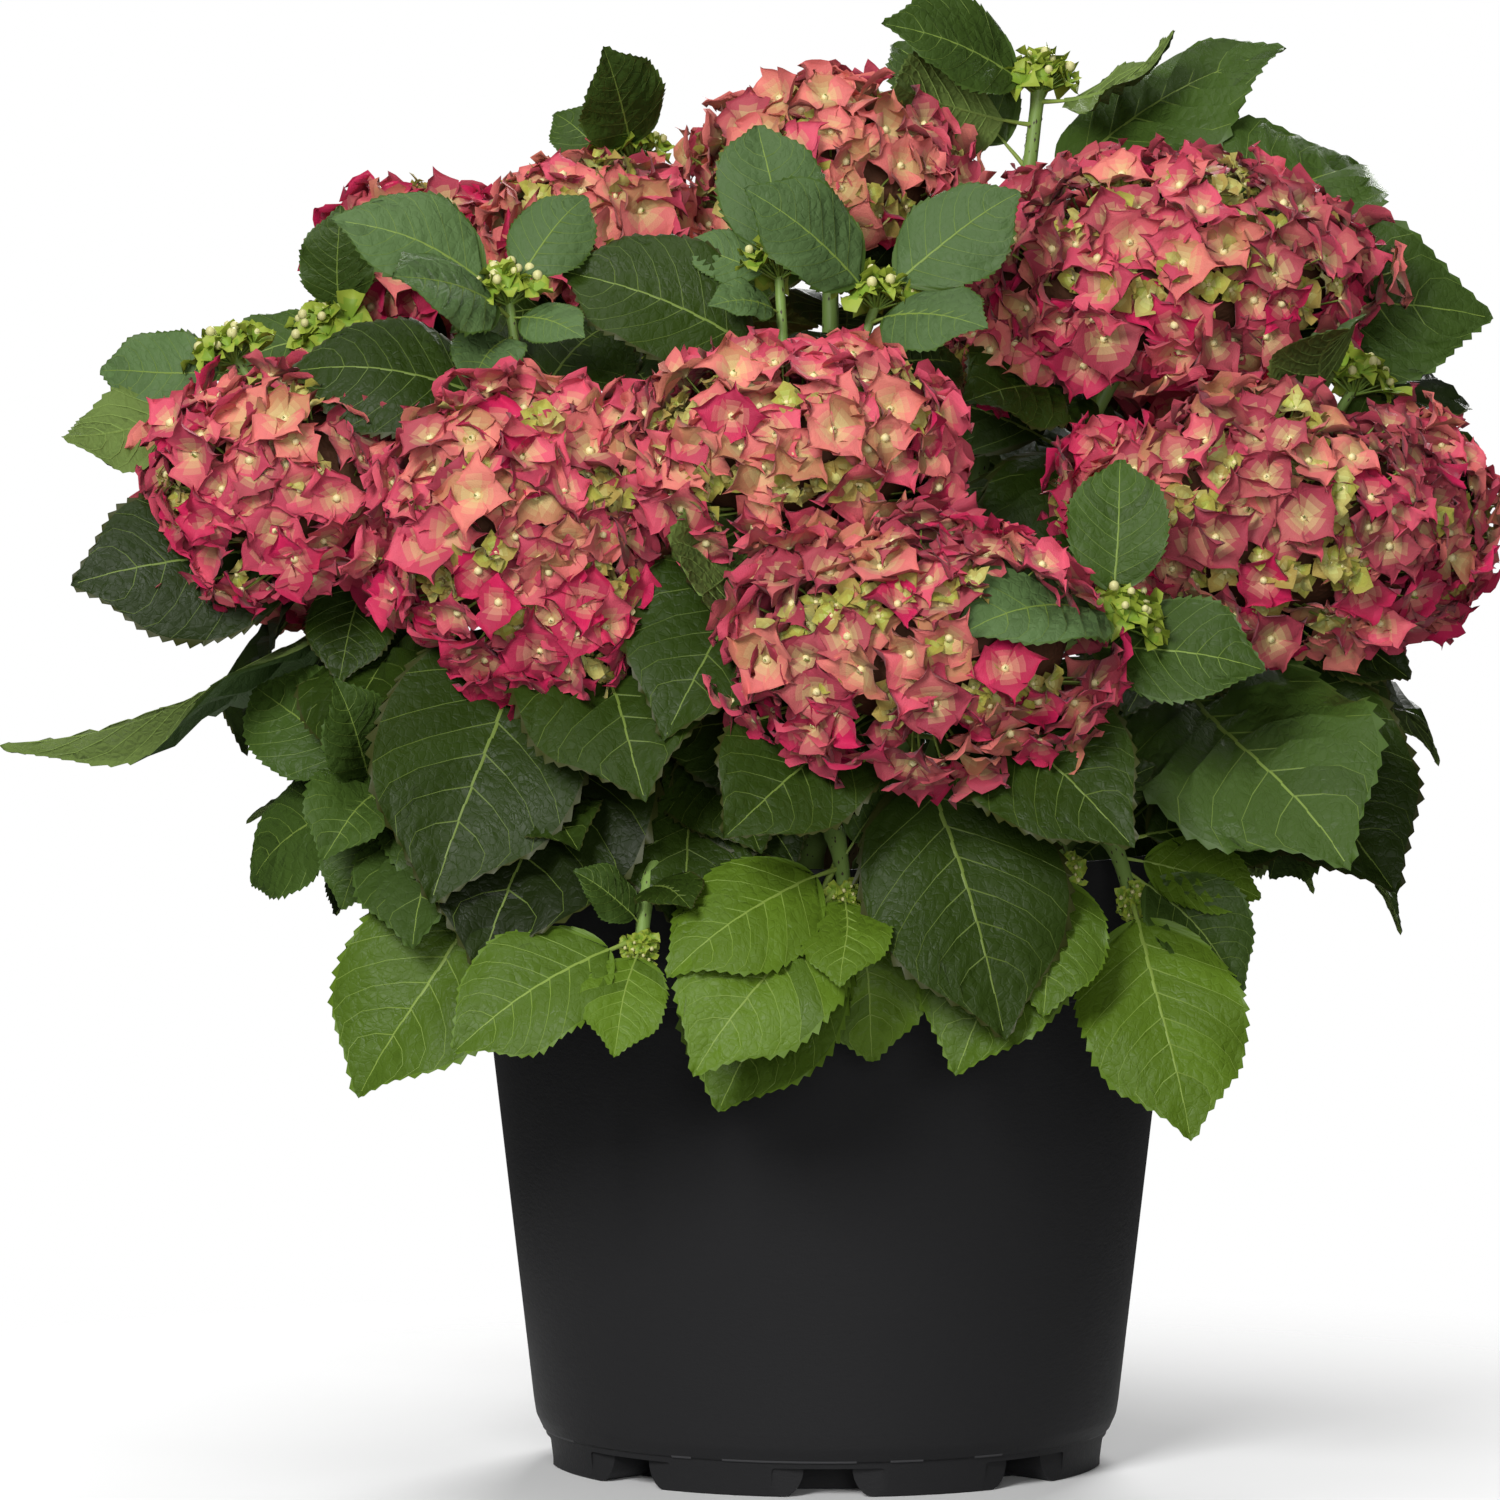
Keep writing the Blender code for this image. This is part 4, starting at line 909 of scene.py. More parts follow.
def channel_outline(steps=8):
    """An opening with rounded cheeks, wider at the ground than at its top."""
    flare = NOTCH_FOOT_HALF_WIDTH - NOTCH_TOP_HALF_WIDTH
    right = [(NOTCH_FOOT_HALF_WIDTH, -CUT_MARGIN)]
    for step in range(steps + 1):
        angle = 0.5 * pi * step / steps
        right.append((NOTCH_FOOT_HALF_WIDTH - flare * sin(angle), NOTCH_HEIGHT * (1.0 - cos(angle))))
    left = [(-across, height) for across, height in reversed(right)]
    return right + left


def close_shell(mesh):
    """Close the two small holes on the axis and turn every face outward."""
    shell = bmesh.new()
    shell.from_mesh(mesh)
    bmesh.ops.holes_fill(shell, edges=[edge for edge in shell.edges if edge.is_boundary])
    bmesh.ops.recalc_face_normals(shell, faces=shell.faces)
    shell.to_mesh(mesh)
    shell.free()


def worn_edge():
    """A broken pale line along the ledge above the foot."""
    random = np.random.default_rng(FINE_SEED + 1)
    line = Sheaf()
    low_radius = LEDGE_RADIUS + PALE_LINE_LOW[0]
    low_height = LEDGE_HEIGHT + PALE_LINE_LOW[1]
    bands = (
        (FOOT_TOP_RADIUS + PALE_LINE_FOOT[0], LEDGE_HEIGHT + PALE_LINE_FOOT[1]), (low_radius, low_height),
        (low_radius, low_height + PALE_LINE_HEIGHT), (LEDGE_RADIUS + PALE_LINE_TOP[0], LEDGE_HEIGHT + PALE_LINE_TOP[1]),
    )
    points, quads = turned(bands, POT_SIDES)
    line_breaks = np.convolve(random.random(POT_SIDES + PALE_LINE_BLUR - 1), np.ones(PALE_LINE_BLUR) / PALE_LINE_BLUR, "valid")
    keep = np.tile(line_breaks > PALE_LINE_SHARE, len(bands) - 1)
    line.add(points, quads[keep])
    return line


def crumbly_soil():
    """The soil's top: a gently crowned disc of crumbs, with its wall down inside the pot."""
    random = np.random.default_rng(FINE_SEED + 2)
    soil = Sheaf()
    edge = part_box("soil")[1].x
    angle = 2.0 * pi * np.arange(SOIL_SIDES) / SOIL_SIDES
    rings = [(SOIL_WALL_SHARE * edge, np.full(SOIL_SIDES, SOIL_TOP - SOIL_WALL_DEPTH))]
    for ring in range(SOIL_RINGS):
        radius = edge * (1.0 - (ring / SOIL_RINGS) ** 1.1)
        lumps = random.uniform(-SOIL_ROUGHNESS, SOIL_ROUGHNESS, SOIL_SIDES)
        rings.append((radius, SOIL_TOP - SOIL_CROWN * (radius / edge) ** 4 + lumps))
    rows = [
        np.stack([radius * np.cos(angle), radius * np.sin(angle), height], -1)
        for radius, height in rings
    ]
    soil.add(np.concatenate(rows), ring_faces(len(rows), SOIL_SIDES))
    ball_points, ball_faces = ball(1)
    for _ in range(CRUMBS):
        turn = random.uniform(0.0, 2.0 * pi)
        reach = edge * CRUMB_REACH * sqrt(random.random())
        size = random.uniform(*CRUMB_SIZES)
        flatness = np.array([1.0, 1.0, CRUMB_FLATNESS])
        swell = random.uniform(*CRUMB_LUMPS, (len(ball_points), 1)) * flatness
        centre = (reach * cos(turn), reach * sin(turn), SOIL_TOP + CRUMB_LIFT * size)
        soil.add(centre + ball_points * swell * size, tris=ball_faces)
    return soil


def ball(subdivisions):
    """Points and triangles of a ball of radius 1."""
    shell = bmesh.new()
    bmesh.ops.create_icosphere(shell, subdivisions=subdivisions, radius=1.0)
    points = np.array([vert.co[:] for vert in shell.verts])
    faces = np.array([[vert.index for vert in face.verts] for face in shell.faces])
    shell.free()
    return points, faces


# ---------------------------------------------------------------- stems

def bend(start, knee, end, share):
    """A point on the smooth curve from start to end that leans towards the knee."""
    rest = 1.0 - share
    return start * (rest * rest) + knee * (2.0 * rest * share) + end * (share * share)


def heading(start, knee, end, share):
    """The way the curve runs at a point, as long as the curve is fast there."""
    return ((knee - start) * (1.0 - share) + (end - knee) * share) * 2.0


def stem_curve(shoot):
    """The three points that shape a shoot's stem."""
    foot = Vector((shoot.foot[0] * MM, shoot.foot[1] * MM, SOIL_TOP + GAP))
    knee = Vector(shoot.knee) * MM
    if shoot.domes:
        top = shoot.domes[0]
        depth = sqrt(sum((top.radii[axis] * top.facing[axis]) ** 2 for axis in range(3)))
        return foot, knee, top.centre - top.facing * depth * CORE_SHARE * ROOT_DEPTH
    return foot, knee, shoot.tip


def twig_curve(shoot_curve, start, branch):
    """A twig leaves its stem along the stem's own way and turns up to its tip."""
    share = start + (1.0 - start) * branch.at
    foot = bend(*shoot_curve, share)
    ahead = heading(*shoot_curve, share).normalized()
    knee = foot.lerp(branch.tip, TWIG_KNEE) + ahead * TWIG_LEAD * (branch.tip - foot).length
    return foot, knee, branch.tip


def limb(gathered, curve, stretch, radii, sides, slots, random):
    """A round tapering limb with swollen joints, fine unevenness and dark specks."""
    start, end = stretch
    length = (bend(*curve, end) - bend(*curve, start)).length
    rings = max(4, ceil(length / RING_STEP))
    shares = np.linspace(start, end, rings + 1)
    reference = Vector((0.31, 0.95, 0.05)).normalized()
    angle = 2.0 * pi * np.arange(sides) / sides
    rows = []
    frames = []
    for step, share in enumerate(shares):
        ahead = heading(*curve, share).normalized()
        across = reference.cross(ahead).normalized()
        up = ahead.cross(across)
        along = length * step / rings
        radius = radii[0] + (radii[1] - radii[0]) * step / rings
        from_joint = (along % JOINT_SPACING) - 0.5 * JOINT_SPACING
        swell = 1.0 + JOINT_SWELL * np.exp(-(from_joint / JOINT_LENGTH) ** 2)
        uneven = radius * swell * (1.0 + random.uniform(-STEM_UNEVENNESS, STEM_UNEVENNESS, sides))
        centre = bend(*curve, share)
        sideways = np.outer(np.cos(angle) * uneven, across)
        rows.append(np.array(centre) + sideways + np.outer(np.sin(angle) * uneven, up))
        frames.append((centre, ahead, across, up, radius * swell))
    quads = ring_faces(len(rows), sides)
    wood = np.repeat(np.where(shares[:-1] < slots[2], slots[0], slots[1]), sides)
    gathered.add(np.concatenate(rows), quads, wood)
    for _ in range(int(length / SPECK_SPACING * SPECKS_AROUND)):
        add_speck(gathered, frames[random.integers(1, len(frames))], slots[3], random)


def add_speck(gathered, frame_here, slot, random):
    """A dark lens-shaped speck on a limb's bark, at one of the limb's rings."""
    centre, ahead, across, up, radius = frame_here
    turn = random.uniform(0.0, 2.0 * pi)
    out = across * cos(turn) + up * sin(turn)
    middle = centre + out * (radius + SPECK_LIFT) + ahead * random.uniform(-0.5, 0.5) * RING_STEP
    size = random.uniform(*SPECK_SIZES)
    length, width = ahead * SPECK_LENGTH * size, ahead.cross(out) * SPECK_WIDTH * size
    end_sink, side_sink = out * SPECK_END_SINK, out * SPECK_SIDE_SINK
    corners = [
        middle + length - end_sink, middle + width - side_sink,
        middle - length - end_sink, middle - width - side_sink, middle,
    ]
    gathered.add(np.array(corners), tris=[(0, 1, 4), (1, 2, 4), (2, 3, 4), (3, 0, 4)], tri_slots=slot)


BARK, GREEN, SPECK, STALK = range(4)


def grow_stems():
    """Boughs from the soil, the shoots above them and their twigs."""
    stems = Sheaf()
    for number, shoot in enumerate(SHOOTS):
        random = np.random.default_rng(FINE_SEED + 20 + number)
        curve = stem_curve(shoot)
        rooted = (curve[0] - Vector((0.0, 0.0, ROOT_SINK)), curve[1], curve[2])
        slots = (BARK, GREEN, BARK_SHARE * shoot.part, SPECK)
        for stretch, radii in (
            ((0.0, shoot.part), (BOUGH_FOOT_RADIUS, BOUGH_TOP_RADIUS)),
            ((shoot.part, 1.0), (BOUGH_TOP_RADIUS, SHOOT_TOP_RADIUS)),
        ):
            limb(stems, rooted, stretch, radii, STEM_SIDES, slots, random)
        for branch in shoot.twigs:
            own = twig_curve(curve, shoot.part, branch)
            limb(stems, own, (0.0, 1.0), (TWIG_FOOT_RADIUS, TWIG_TOP_RADIUS), TWIG_SIDES,
                 (GREEN, GREEN, 0.0, SPECK), random)
    return stems


# ---------------------------------------------------------------- where the leaves stand

def leaf_frame(node, tip, light):
    """A leaf's length, its direction, the way its upper side faces, and its side direction."""
    chord = tip - node
    along = chord.normalized()
    face = (light - along * light.dot(along)).normalized()
    return chord.length, along, face, along.cross(face)


def leaning_light(lean, towards):
    """The way a leaf turns its face: up, tilted by so many degrees towards a direction."""
    tilt = radians(lean)
    return Vector((0.0, 0.0, cos(tilt))) + towards * sin(tilt)


def set_blade(curve, start, own, look):
    """A listed leaf turns its face up and to the front."""
    node = bend(*curve, start + (1.0 - start) * own.share)
    return Blade(node, own.tip, leaning_light(own.lean, Vector((0.0, -1.0, 0.0))), own.look or look)


def grown_blade(node, turn, rise, reach, look, random):
    """A leaf that grows from a node by bearing, rise and length, and faces up and outward."""
    way = Vector((cos(rise) * cos(turn), cos(rise) * sin(turn), sin(rise)))
    tip = node + way * reach
    outward = Vector((tip.x, tip.y, 0.0)).normalized()
    return Blade(node, tip, leaning_light(random.uniform(*GROWN_LEAN), outward), look)


def pair_blades(curve, start, pairs, droop, look, random):
    """Leaves in opposite pairs up a stem, each pair a quarter turn from the one before."""
    blades = []
    for pair in range(pairs):
        share = start + (1.0 - start) * LEAF_PAIRS[pair]
        node = bend(*curve, share)
        outward = Vector((curve[2].x - curve[0].x, curve[2].y - curve[0].y))
        bearing = outward.angle_signed(Vector((1.0, 0.0))) + radians(PAIR_BEARING + PAIR_TURN * pair)
        for way in (0.0, pi):
            turn = bearing + way + radians(random.uniform(-PAIR_SWAY, PAIR_SWAY))
            rise = radians(random.uniform(*PAIR_RISE) - droop)
            reach = LEAF_LENGTH * random.uniform(*PAIR_REACH)
            blades.append(grown_blade(node, turn, rise, reach, look, random))
    return blades


def whorl_blades(curve, droop, look, random):
    """A whorl of leaves under a bud cluster."""
    blades = []
    node = bend(*curve, WHORL_SHARE)
    for number in range(WHORL_LEAVES):
        turn = 2.0 * pi * (number + random.uniform(-WHORL_SWAY, WHORL_SWAY)) / WHORL_LEAVES
        rise = radians(random.uniform(*WHORL_RISE) - droop)
        reach = LEAF_LENGTH * random.uniform(*WHORL_REACH)
        blades.append(grown_blade(node, turn, rise, reach, look, random))
    return blades


def packed_corners(name):
    """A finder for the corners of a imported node."""
    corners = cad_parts[name].data.vertices
    finder = KDTree(len(corners))
    for corner in corners:
        finder.insert(corner.co, corner.index)
    finder.balance()
    return finder


def standing_tip(finder, blade):
    """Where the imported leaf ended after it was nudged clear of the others, or nothing."""
    length, _, face, side = leaf_frame(blade.node, blade.tip, blade.light)
    for lift, sway in NUDGES:
        moved = blade.tip + face * lift + side * sway
        moved = blade.node + (moved - blade.node).normalized() * length
        if finder.find(moved)[2] < TIP_MATCH:
            return moved
    return None


def standing_blades(number, shoot):
    """Every leaf of a shoot as it stands, in the order they grew."""
    random = np.random.default_rng(SEED + number)
    curve = stem_curve(shoot)
    start = shoot.part
    fixed = [set_blade(curve, start, own, shoot.look) for own in shoot.leaves]
    grown = []
    for branch in shoot.twigs:
        own = twig_curve(curve, start, branch)
        fixed += [set_blade(own, 0.0, part, branch.look) for part in branch.leaves]
        if not branch.leaves:
            grown += whorl_blades(own, 0.0, branch.look, random)
    droop = BLOOM_DROOP if shoot.domes else RIM_DROOP
    if not shoot.domes and not shoot.leaves:
        grown += whorl_blades(curve, droop, shoot.look, random)
    grown += pair_blades(curve, start, shoot.pairs, droop, shoot.look, random)
    finder = packed_corners(mass_name(shoot))
    standing = [(blade, standing_tip(finder, blade) or blade.tip) for blade in fixed]
    standing += [(blade, standing_tip(finder, blade)) for blade in grown]
    return [blade._replace(tip=tip) for blade, tip in standing if tip]


# ---------------------------------------------------------------- one leaf

def blade_width(along):
    """Half width of a blade as a share of the widest, from its base at 0 to its drawn-out tip at 1."""
    along = np.clip(along, 0.0, 1.0)
    base = np.sin(0.5 * pi * np.clip(along / WIDEST, 0.0, 1.0) ** 0.75) ** 0.8
    late = np.clip((along - WIDEST) / (1.0 - WIDEST), 0.0, 1.0)
    draw = np.clip((late - 0.5) / 0.45, 0.0, 1.0)
    return base * (1.0 - late ** 2.4) ** 0.9 * (1.0 - 0.42 * draw * draw * (3.0 - 2.0 * draw))


def swept(first, share):
    """How far along the blade a side vein has come, from where it leaves the midrib to its margin at 1."""
    share = np.abs(share)
    return first + VEIN_SWEEP * np.sin(pi * first ** 0.7) * share * (1.0 - VEIN_BEND + VEIN_BEND * share)


ROW_STARTS = np.arange(BLADE_ROWS + 1) / BLADE_ROWS * LAST_ROW
ROW_SHARES = np.array([-share for share in BLADE_COLUMNS[:0:-1]] + list(BLADE_COLUMNS))


def margin_places():
    """Where along a blade its notches and teeth are, evenly along its curved margin."""
    fine = np.linspace(0.0, swept(LAST_ROW, 1.0), 400)
    run = np.hypot(np.diff(fine), 0.5 * LEAF_WIDTH * np.diff(blade_width(fine)))
    reach = np.append(0.0, np.cumsum(run))
    notches = np.arange(TEETH)
    places = np.append(np.sort(np.append(notches, notches + TOOTH_PEAK)) / TEETH, 1.0)
    return np.interp(places * reach[-1], reach, fine)


MARGIN = margin_places()


def zipped(inner, outer, inner_along, outer_along):
    """Triangles between two lines of points that run the same way, each met where it comes next."""
    tris = []
    near = far = 0
    while near + 1 < len(inner) or far + 1 < len(outer):
        if far + 1 == len(outer) or (near + 1 < len(inner) and inner_along[near + 1] < outer_along[far + 1]):
            tris.append((inner[near], outer[far], inner[near + 1]))
            near += 1
        else:
            tris.append((inner[near], outer[far], outer[far + 1]))
            far += 1
    return tris


def blade_pattern():
    """The faces that every blade shares: its inner quads, its toothed rim, and which of them are edge."""
    wide = len(ROW_SHARES)
    rows = BLADE_ROWS + 1
    quads = ring_faces(rows, wide, closed=False)
    base = rows * wide
    tris = []
    for side in range(2):
        inner = np.arange(rows) * wide + (wide - 1 if side else 0)
        outer = base + side * len(MARGIN) + np.arange(len(MARGIN))
        found = zipped(inner, outer, swept(ROW_STARTS, BLADE_COLUMNS[-1]), MARGIN)
        tris += [tri if side else tri[::-1] for tri in found]
    edge_tris = len(tris)
    tip = base + 2 * len(MARGIN)
    last = (rows - 1) * wide
    rim = [base + len(MARGIN) - 1] + list(range(last, last + wide)) + [tip - 1]
    tris += [(first, second, tip) for first, second in zip(rim, rim[1:])]
    return quads, np.array(tris), edge_tris


BLADE_QUADS, BLADE_TRIS, BLADE_EDGE_TRIS = blade_pattern()


def blade_grid(random, sizes, length):
    """A flat blade: across in metres, along from 0 to 1, and its swell, for every point of the pattern."""
    half = 0.5 * LEAF_WIDTH * length * (1.0 - PETIOLE)
    stalk = STALK_RADIUS * length * STALK_MEETS
    quilting = sizes.quilting * length / LEAF_LENGTH
    along = swept(ROW_STARTS[:, None], ROW_SHARES[None, :])
    across = ROW_SHARES[None, :] * np.maximum(half * blade_width(along), stalk)
    vale = np.where(np.arange(BLADE_ROWS + 1) % 2 == 0, VALE_DEPTH, SWELL_HEIGHT)[:, None]
    reach = np.abs(ROW_SHARES)[None, :]
    pucker = random.normal(0.0, PUCKER, along.shape) * (vale > 0.0) * reach
    vale = vale * np.sin(pi * reach ** 0.8) + pucker
    swell = quilting * (vale * (0.4 + blade_width(along)) + EDGE_LIFT * reach)
    fade = np.clip(MARGIN / TOOTHLESS_BASE, 0.0, 1.0) * (1.0 - 0.5 * MARGIN) * length / LEAF_LENGTH
    peaks = np.arange(len(MARGIN)) % 2
    margins = []
    for side in (-1.0, 1.0):
        tooth = sizes.tooth * fade * (peaks * random.uniform(*TOOTH_SIZES, len(MARGIN)))
        place = np.minimum(MARGIN + 0.5 * tooth / length, LAST_TOOTH)
        out = np.maximum(half * blade_width(MARGIN), stalk) + tooth
        margins.append((side * out, place, np.full(len(MARGIN), EDGE_LIFT * quilting)))
    flat = [np.concatenate([part.ravel() for part in (grid, margins[0][item], margins[1][item])])
            for item, grid in enumerate((across, along, swell))]
    tip = (0.0, 1.0, 0.0)
    return [np.append(values, end) for values, end in zip(flat, tip)], (along, across, swell)


class Bent:
    """The curved sheet that a flat blade is laid on."""

    def __init__(self, blade, random):
        self.length, along, face, side = leaf_frame(blade.node, blade.tip, blade.light)
        roll = LOOKS[blade.look].roll
        if roll:
            turn = Matrix.Rotation(radians(roll + random.uniform(-ROLL_SWAY, ROLL_SWAY)), 3, along)
            face, side = turn @ face, turn @ side
        self.along, self.face, self.side = (np.array(way) for way in (along, face, side))
        self.node = np.array(blade.node)
        self.half = 0.5 * LEAF_WIDTH * self.length * (1.0 - PETIOLE)
        self.arch = LEAF_ARCH * random.uniform(*ARCH) * LOOKS[blade.look].arch
        self.fold = random.uniform(*FOLD)
        self.droop = random.uniform(*DROOP)
        self.sway = random.uniform(*SWAY)
        self.curl = random.uniform(*CURL)
        self.twist = random.uniform(*TWIST)
        self.wave = random.uniform(*WAVE) * self.length
        self.beat = random.uniform(*BEAT)
        self.phase = random.uniform(0.0, 2.0 * pi, 2)

    def lay(self, across, along, swell):
        """Points in space for flat ones: across in metres, along the blade from 0 to 1, swell in metres."""
        share = PETIOLE + (1.0 - PETIOLE) * along
        return self.lift(across, share, swell, np.clip(along, 0.0, 1.0))

    def lift(self, across, share, swell, along):
        length = self.length
        rise = self.arch * 4.0 * share * (1.0 - share)
        slope = self.arch * 4.0 * (1.0 - 2.0 * share)
        late = np.clip((share - CURL_START) / 0.45, 0.0, 1.0)
        rise = rise - self.curl * late ** 2
        spine = (
            self.node + np.outer(share * length, self.along) + np.outer(rise * length, self.face)
            + np.outer(self.sway * length * np.sin(pi * share) ** 2, self.side)
        )
        normal = self.face[None, :] - np.outer(slope, self.along)
        normal /= np.linalg.norm(normal, axis=1)[:, None]
        turn = self.twist * (along - TWIST_START)
        side = self.side[None, :] * np.cos(turn)[:, None] + normal * np.sin(turn)[:, None]
        up = normal * np.cos(turn)[:, None] - self.side[None, :] * np.sin(turn)[:, None]
        share_out = np.abs(across) / self.half
        flop = self.fold * np.abs(across) - self.droop * self.half * share_out ** 2.2
        phase = np.where(across < 0.0, self.phase[0], self.phase[1])
        ripple = self.wave * np.sin(2.0 * pi * self.beat * along + phase) * share_out ** 2
        return spine + side * across[:, None] + up * (swell + flop + ripple)[:, None]


def ridge(path, half_width, height, step_y):
    """A vein along a flat path: its two sunk sides and its raised crown."""
    across, along, swell = path
    run = np.stack([np.gradient(across), np.gradient(along) * step_y], -1)
    run /= np.maximum(np.linalg.norm(run, axis=1), 1e-9)[:, None]
    shift_across = -run[:, 1] * half_width
    shift_along = run[:, 0] * half_width / step_y
    sunk = VEIN_SINK * np.abs(height)
    sign = np.sign(height)
    points = (
        np.concatenate([across - shift_across, across, across + shift_across]),
        np.concatenate([along - shift_along, along, along + shift_along]),
        np.concatenate([swell - sign * sunk * 0.4, swell + height, swell - sign * sunk * 0.4]),
    )
    count = len(across)
    step = np.arange(count - 1)
    quads = np.concatenate([
        np.stack([step, step + 1, count + step + 1, count + step], -1),
        np.stack([count + step, count + step + 1, 2 * count + step + 1, 2 * count + step], -1),
    ])
    return points, quads


def blade_veins(grid, length, sizes, below):
    """The midrib and the side veins of one side of a blade."""
    along, across, swell = grid
    middle = len(BLADE_COLUMNS) - 1
    step_y = length * (1.0 - PETIOLE)
    sign = -1.0 if below else 1.0
    base = -BLADE_THICKNESS * length if below else 0.0
    fade = 1.0 - RIB_TAPER * along[:, middle]
    rib = (across[:, middle], along[:, middle], swell[:, middle] + base)
    rise = sign * sizes.vein * (RIB_BELOW if below else 1.0) * fade
    veins = [ridge(rib, RIB_WIDTH * length * fade, rise, step_y)]
    for row in range(2, BLADE_ROWS - 2, 2):
        for side in (-1, 1):
            columns = middle + side * np.arange(len(BLADE_COLUMNS))
            path = (across[row, columns], along[row, columns], swell[row, columns] + base)
            taper = np.linspace(1.0, SIDE_VEIN_TAPER, len(columns)) * (1.0 - 0.35 * along[row, middle])
            rise = sign * sizes.vein * SIDE_VEIN_RISE * taper
            veins.append(ridge(path, SIDE_VEIN_WIDTH * length * taper, rise, step_y))
    return veins


Look = namedtuple("Look", "kind tints edge roll piece arch")
LOOKS = {
    # The deep look gives leaves that stand in shade the darkest tints: painted shade on top of their old
    # green.
    "deep": Look("old", (0, 1), "edge_old", 0.0, "old", 1.0),
    "old": Look("old", (1, 2, 3), "edge_old", 0.0, "old", 1.0),
    "mid": Look("fresh", (4, 5), "edge_fresh", 0.0, "fresh", 1.0),
    # The blue and over looks take the blue tints, which hold a painted whitish-blue sheen.
    "blue": Look("fresh", (6, 7), "edge_fresh", 0.0, "fresh", 1.0),
    "over": Look("fresh", (6, 7), "edge_fresh", 0.0, "fresh", 3.0),
    "young": Look("young", (8, 9, 10), "edge_young", 0.0, "young", 1.0),
    "turned": Look("fresh", (4, 6), "edge_fresh", 150.0, "fresh", 1.0),
}
TINTS = 11
EDGES = {"edge_old": TINTS, "edge_fresh": TINTS + 1, "edge_young": TINTS + 2}
VEINS = {"old": TINTS + 3, "fresh": TINTS + 4, "young": TINTS + 5}
UNDER = {"old": TINTS + 6, "fresh": TINTS + 7, "young": TINTS + 8}
UNDER_VEIN = TINTS + 9
PETIOLE_SLOT = TINTS + 10
SIDE_VEINS = {"old": TINTS + 11, "fresh": TINTS + 12, "young": TINTS + 13}


def stalk_of(gathered, bent):
    """The stalk from the stem to the blade, round and a little swollen at its foot."""
    shares = np.linspace(-0.01, PETIOLE * 1.12, len(STALK_TAPER))
    radius = STALK_RADIUS * bent.length * np.array(STALK_TAPER)
    angle = 2.0 * pi * np.arange(STALK_SIDES) / STALK_SIDES
    across = (radius[:, None] * np.cos(angle)[None, :]).ravel()
    swell = (radius[:, None] * (np.sin(angle)[None, :] - 0.55)).ravel()
    share = np.repeat(shares, STALK_SIDES)
    rise = bent.lift(np.zeros_like(across), share, swell, np.zeros_like(across))
    gathered.add(rise + np.outer(across, bent.side), ring_faces(len(shares), STALK_SIDES), PETIOLE_SLOT)


def grow_leaf(gathered, blade, random, sizes):
    """One closed leaf with teeth, veins on both sides and its stalk."""
    look = LOOKS[blade.look]
    bent = Bent(blade, random)
    flat, grid = blade_grid(random, sizes, bent.length)
    across, along, swell = flat
    tint = random.integers(len(look.tints))
    # Some vein panels, two rows at a time, step to the look's next tint, lighter or darker: painted shade of
    # panels that bulge towards or away from the light.
    panel_shade = (random.random((BLADE_ROWS, 2)) < SHADED_PANEL_SHARE) * random.integers(0, 2, (BLADE_ROWS, 2))
    panel_shade[1::2] = panel_shade[::2]
    panel_shades = np.repeat(panel_shade, len(BLADE_COLUMNS) - 1, axis=1).ravel()
    tints = np.array(look.tints)[np.minimum(tint + panel_shades, len(look.tints) - 1)]
    edge = np.where(np.arange(len(BLADE_TRIS)) < BLADE_EDGE_TRIS, EDGES[look.edge], look.tints[tint])
    gathered.add(bent.lay(across, along, swell), BLADE_QUADS, tints, BLADE_TRIS, edge)
    inner = (BLADE_ROWS + 1) * len(ROW_SHARES)
    sunk = np.where(np.arange(len(across)) < inner, BLADE_THICKNESS * bent.length, 0.0)
    under = UNDER[look.kind]
    lower = bent.lay(across, along, swell - sunk)
    gathered.add(lower, BLADE_QUADS[:, [0, 3, 2, 1]], under, BLADE_TRIS[:, ::-1], under)
    for number, (points, faces) in enumerate(blade_veins(grid, bent.length, sizes, below=False)):
        gathered.add(bent.lay(*points), faces, (SIDE_VEINS if number else VEINS)[look.kind])
    for points, faces in blade_veins(grid, bent.length, sizes, below=True):
        gathered.add(bent.lay(*points), faces[:, ::-1], UNDER_VEIN)
    stalk_of(gathered, bent)


# ---------------------------------------------------------------- florets

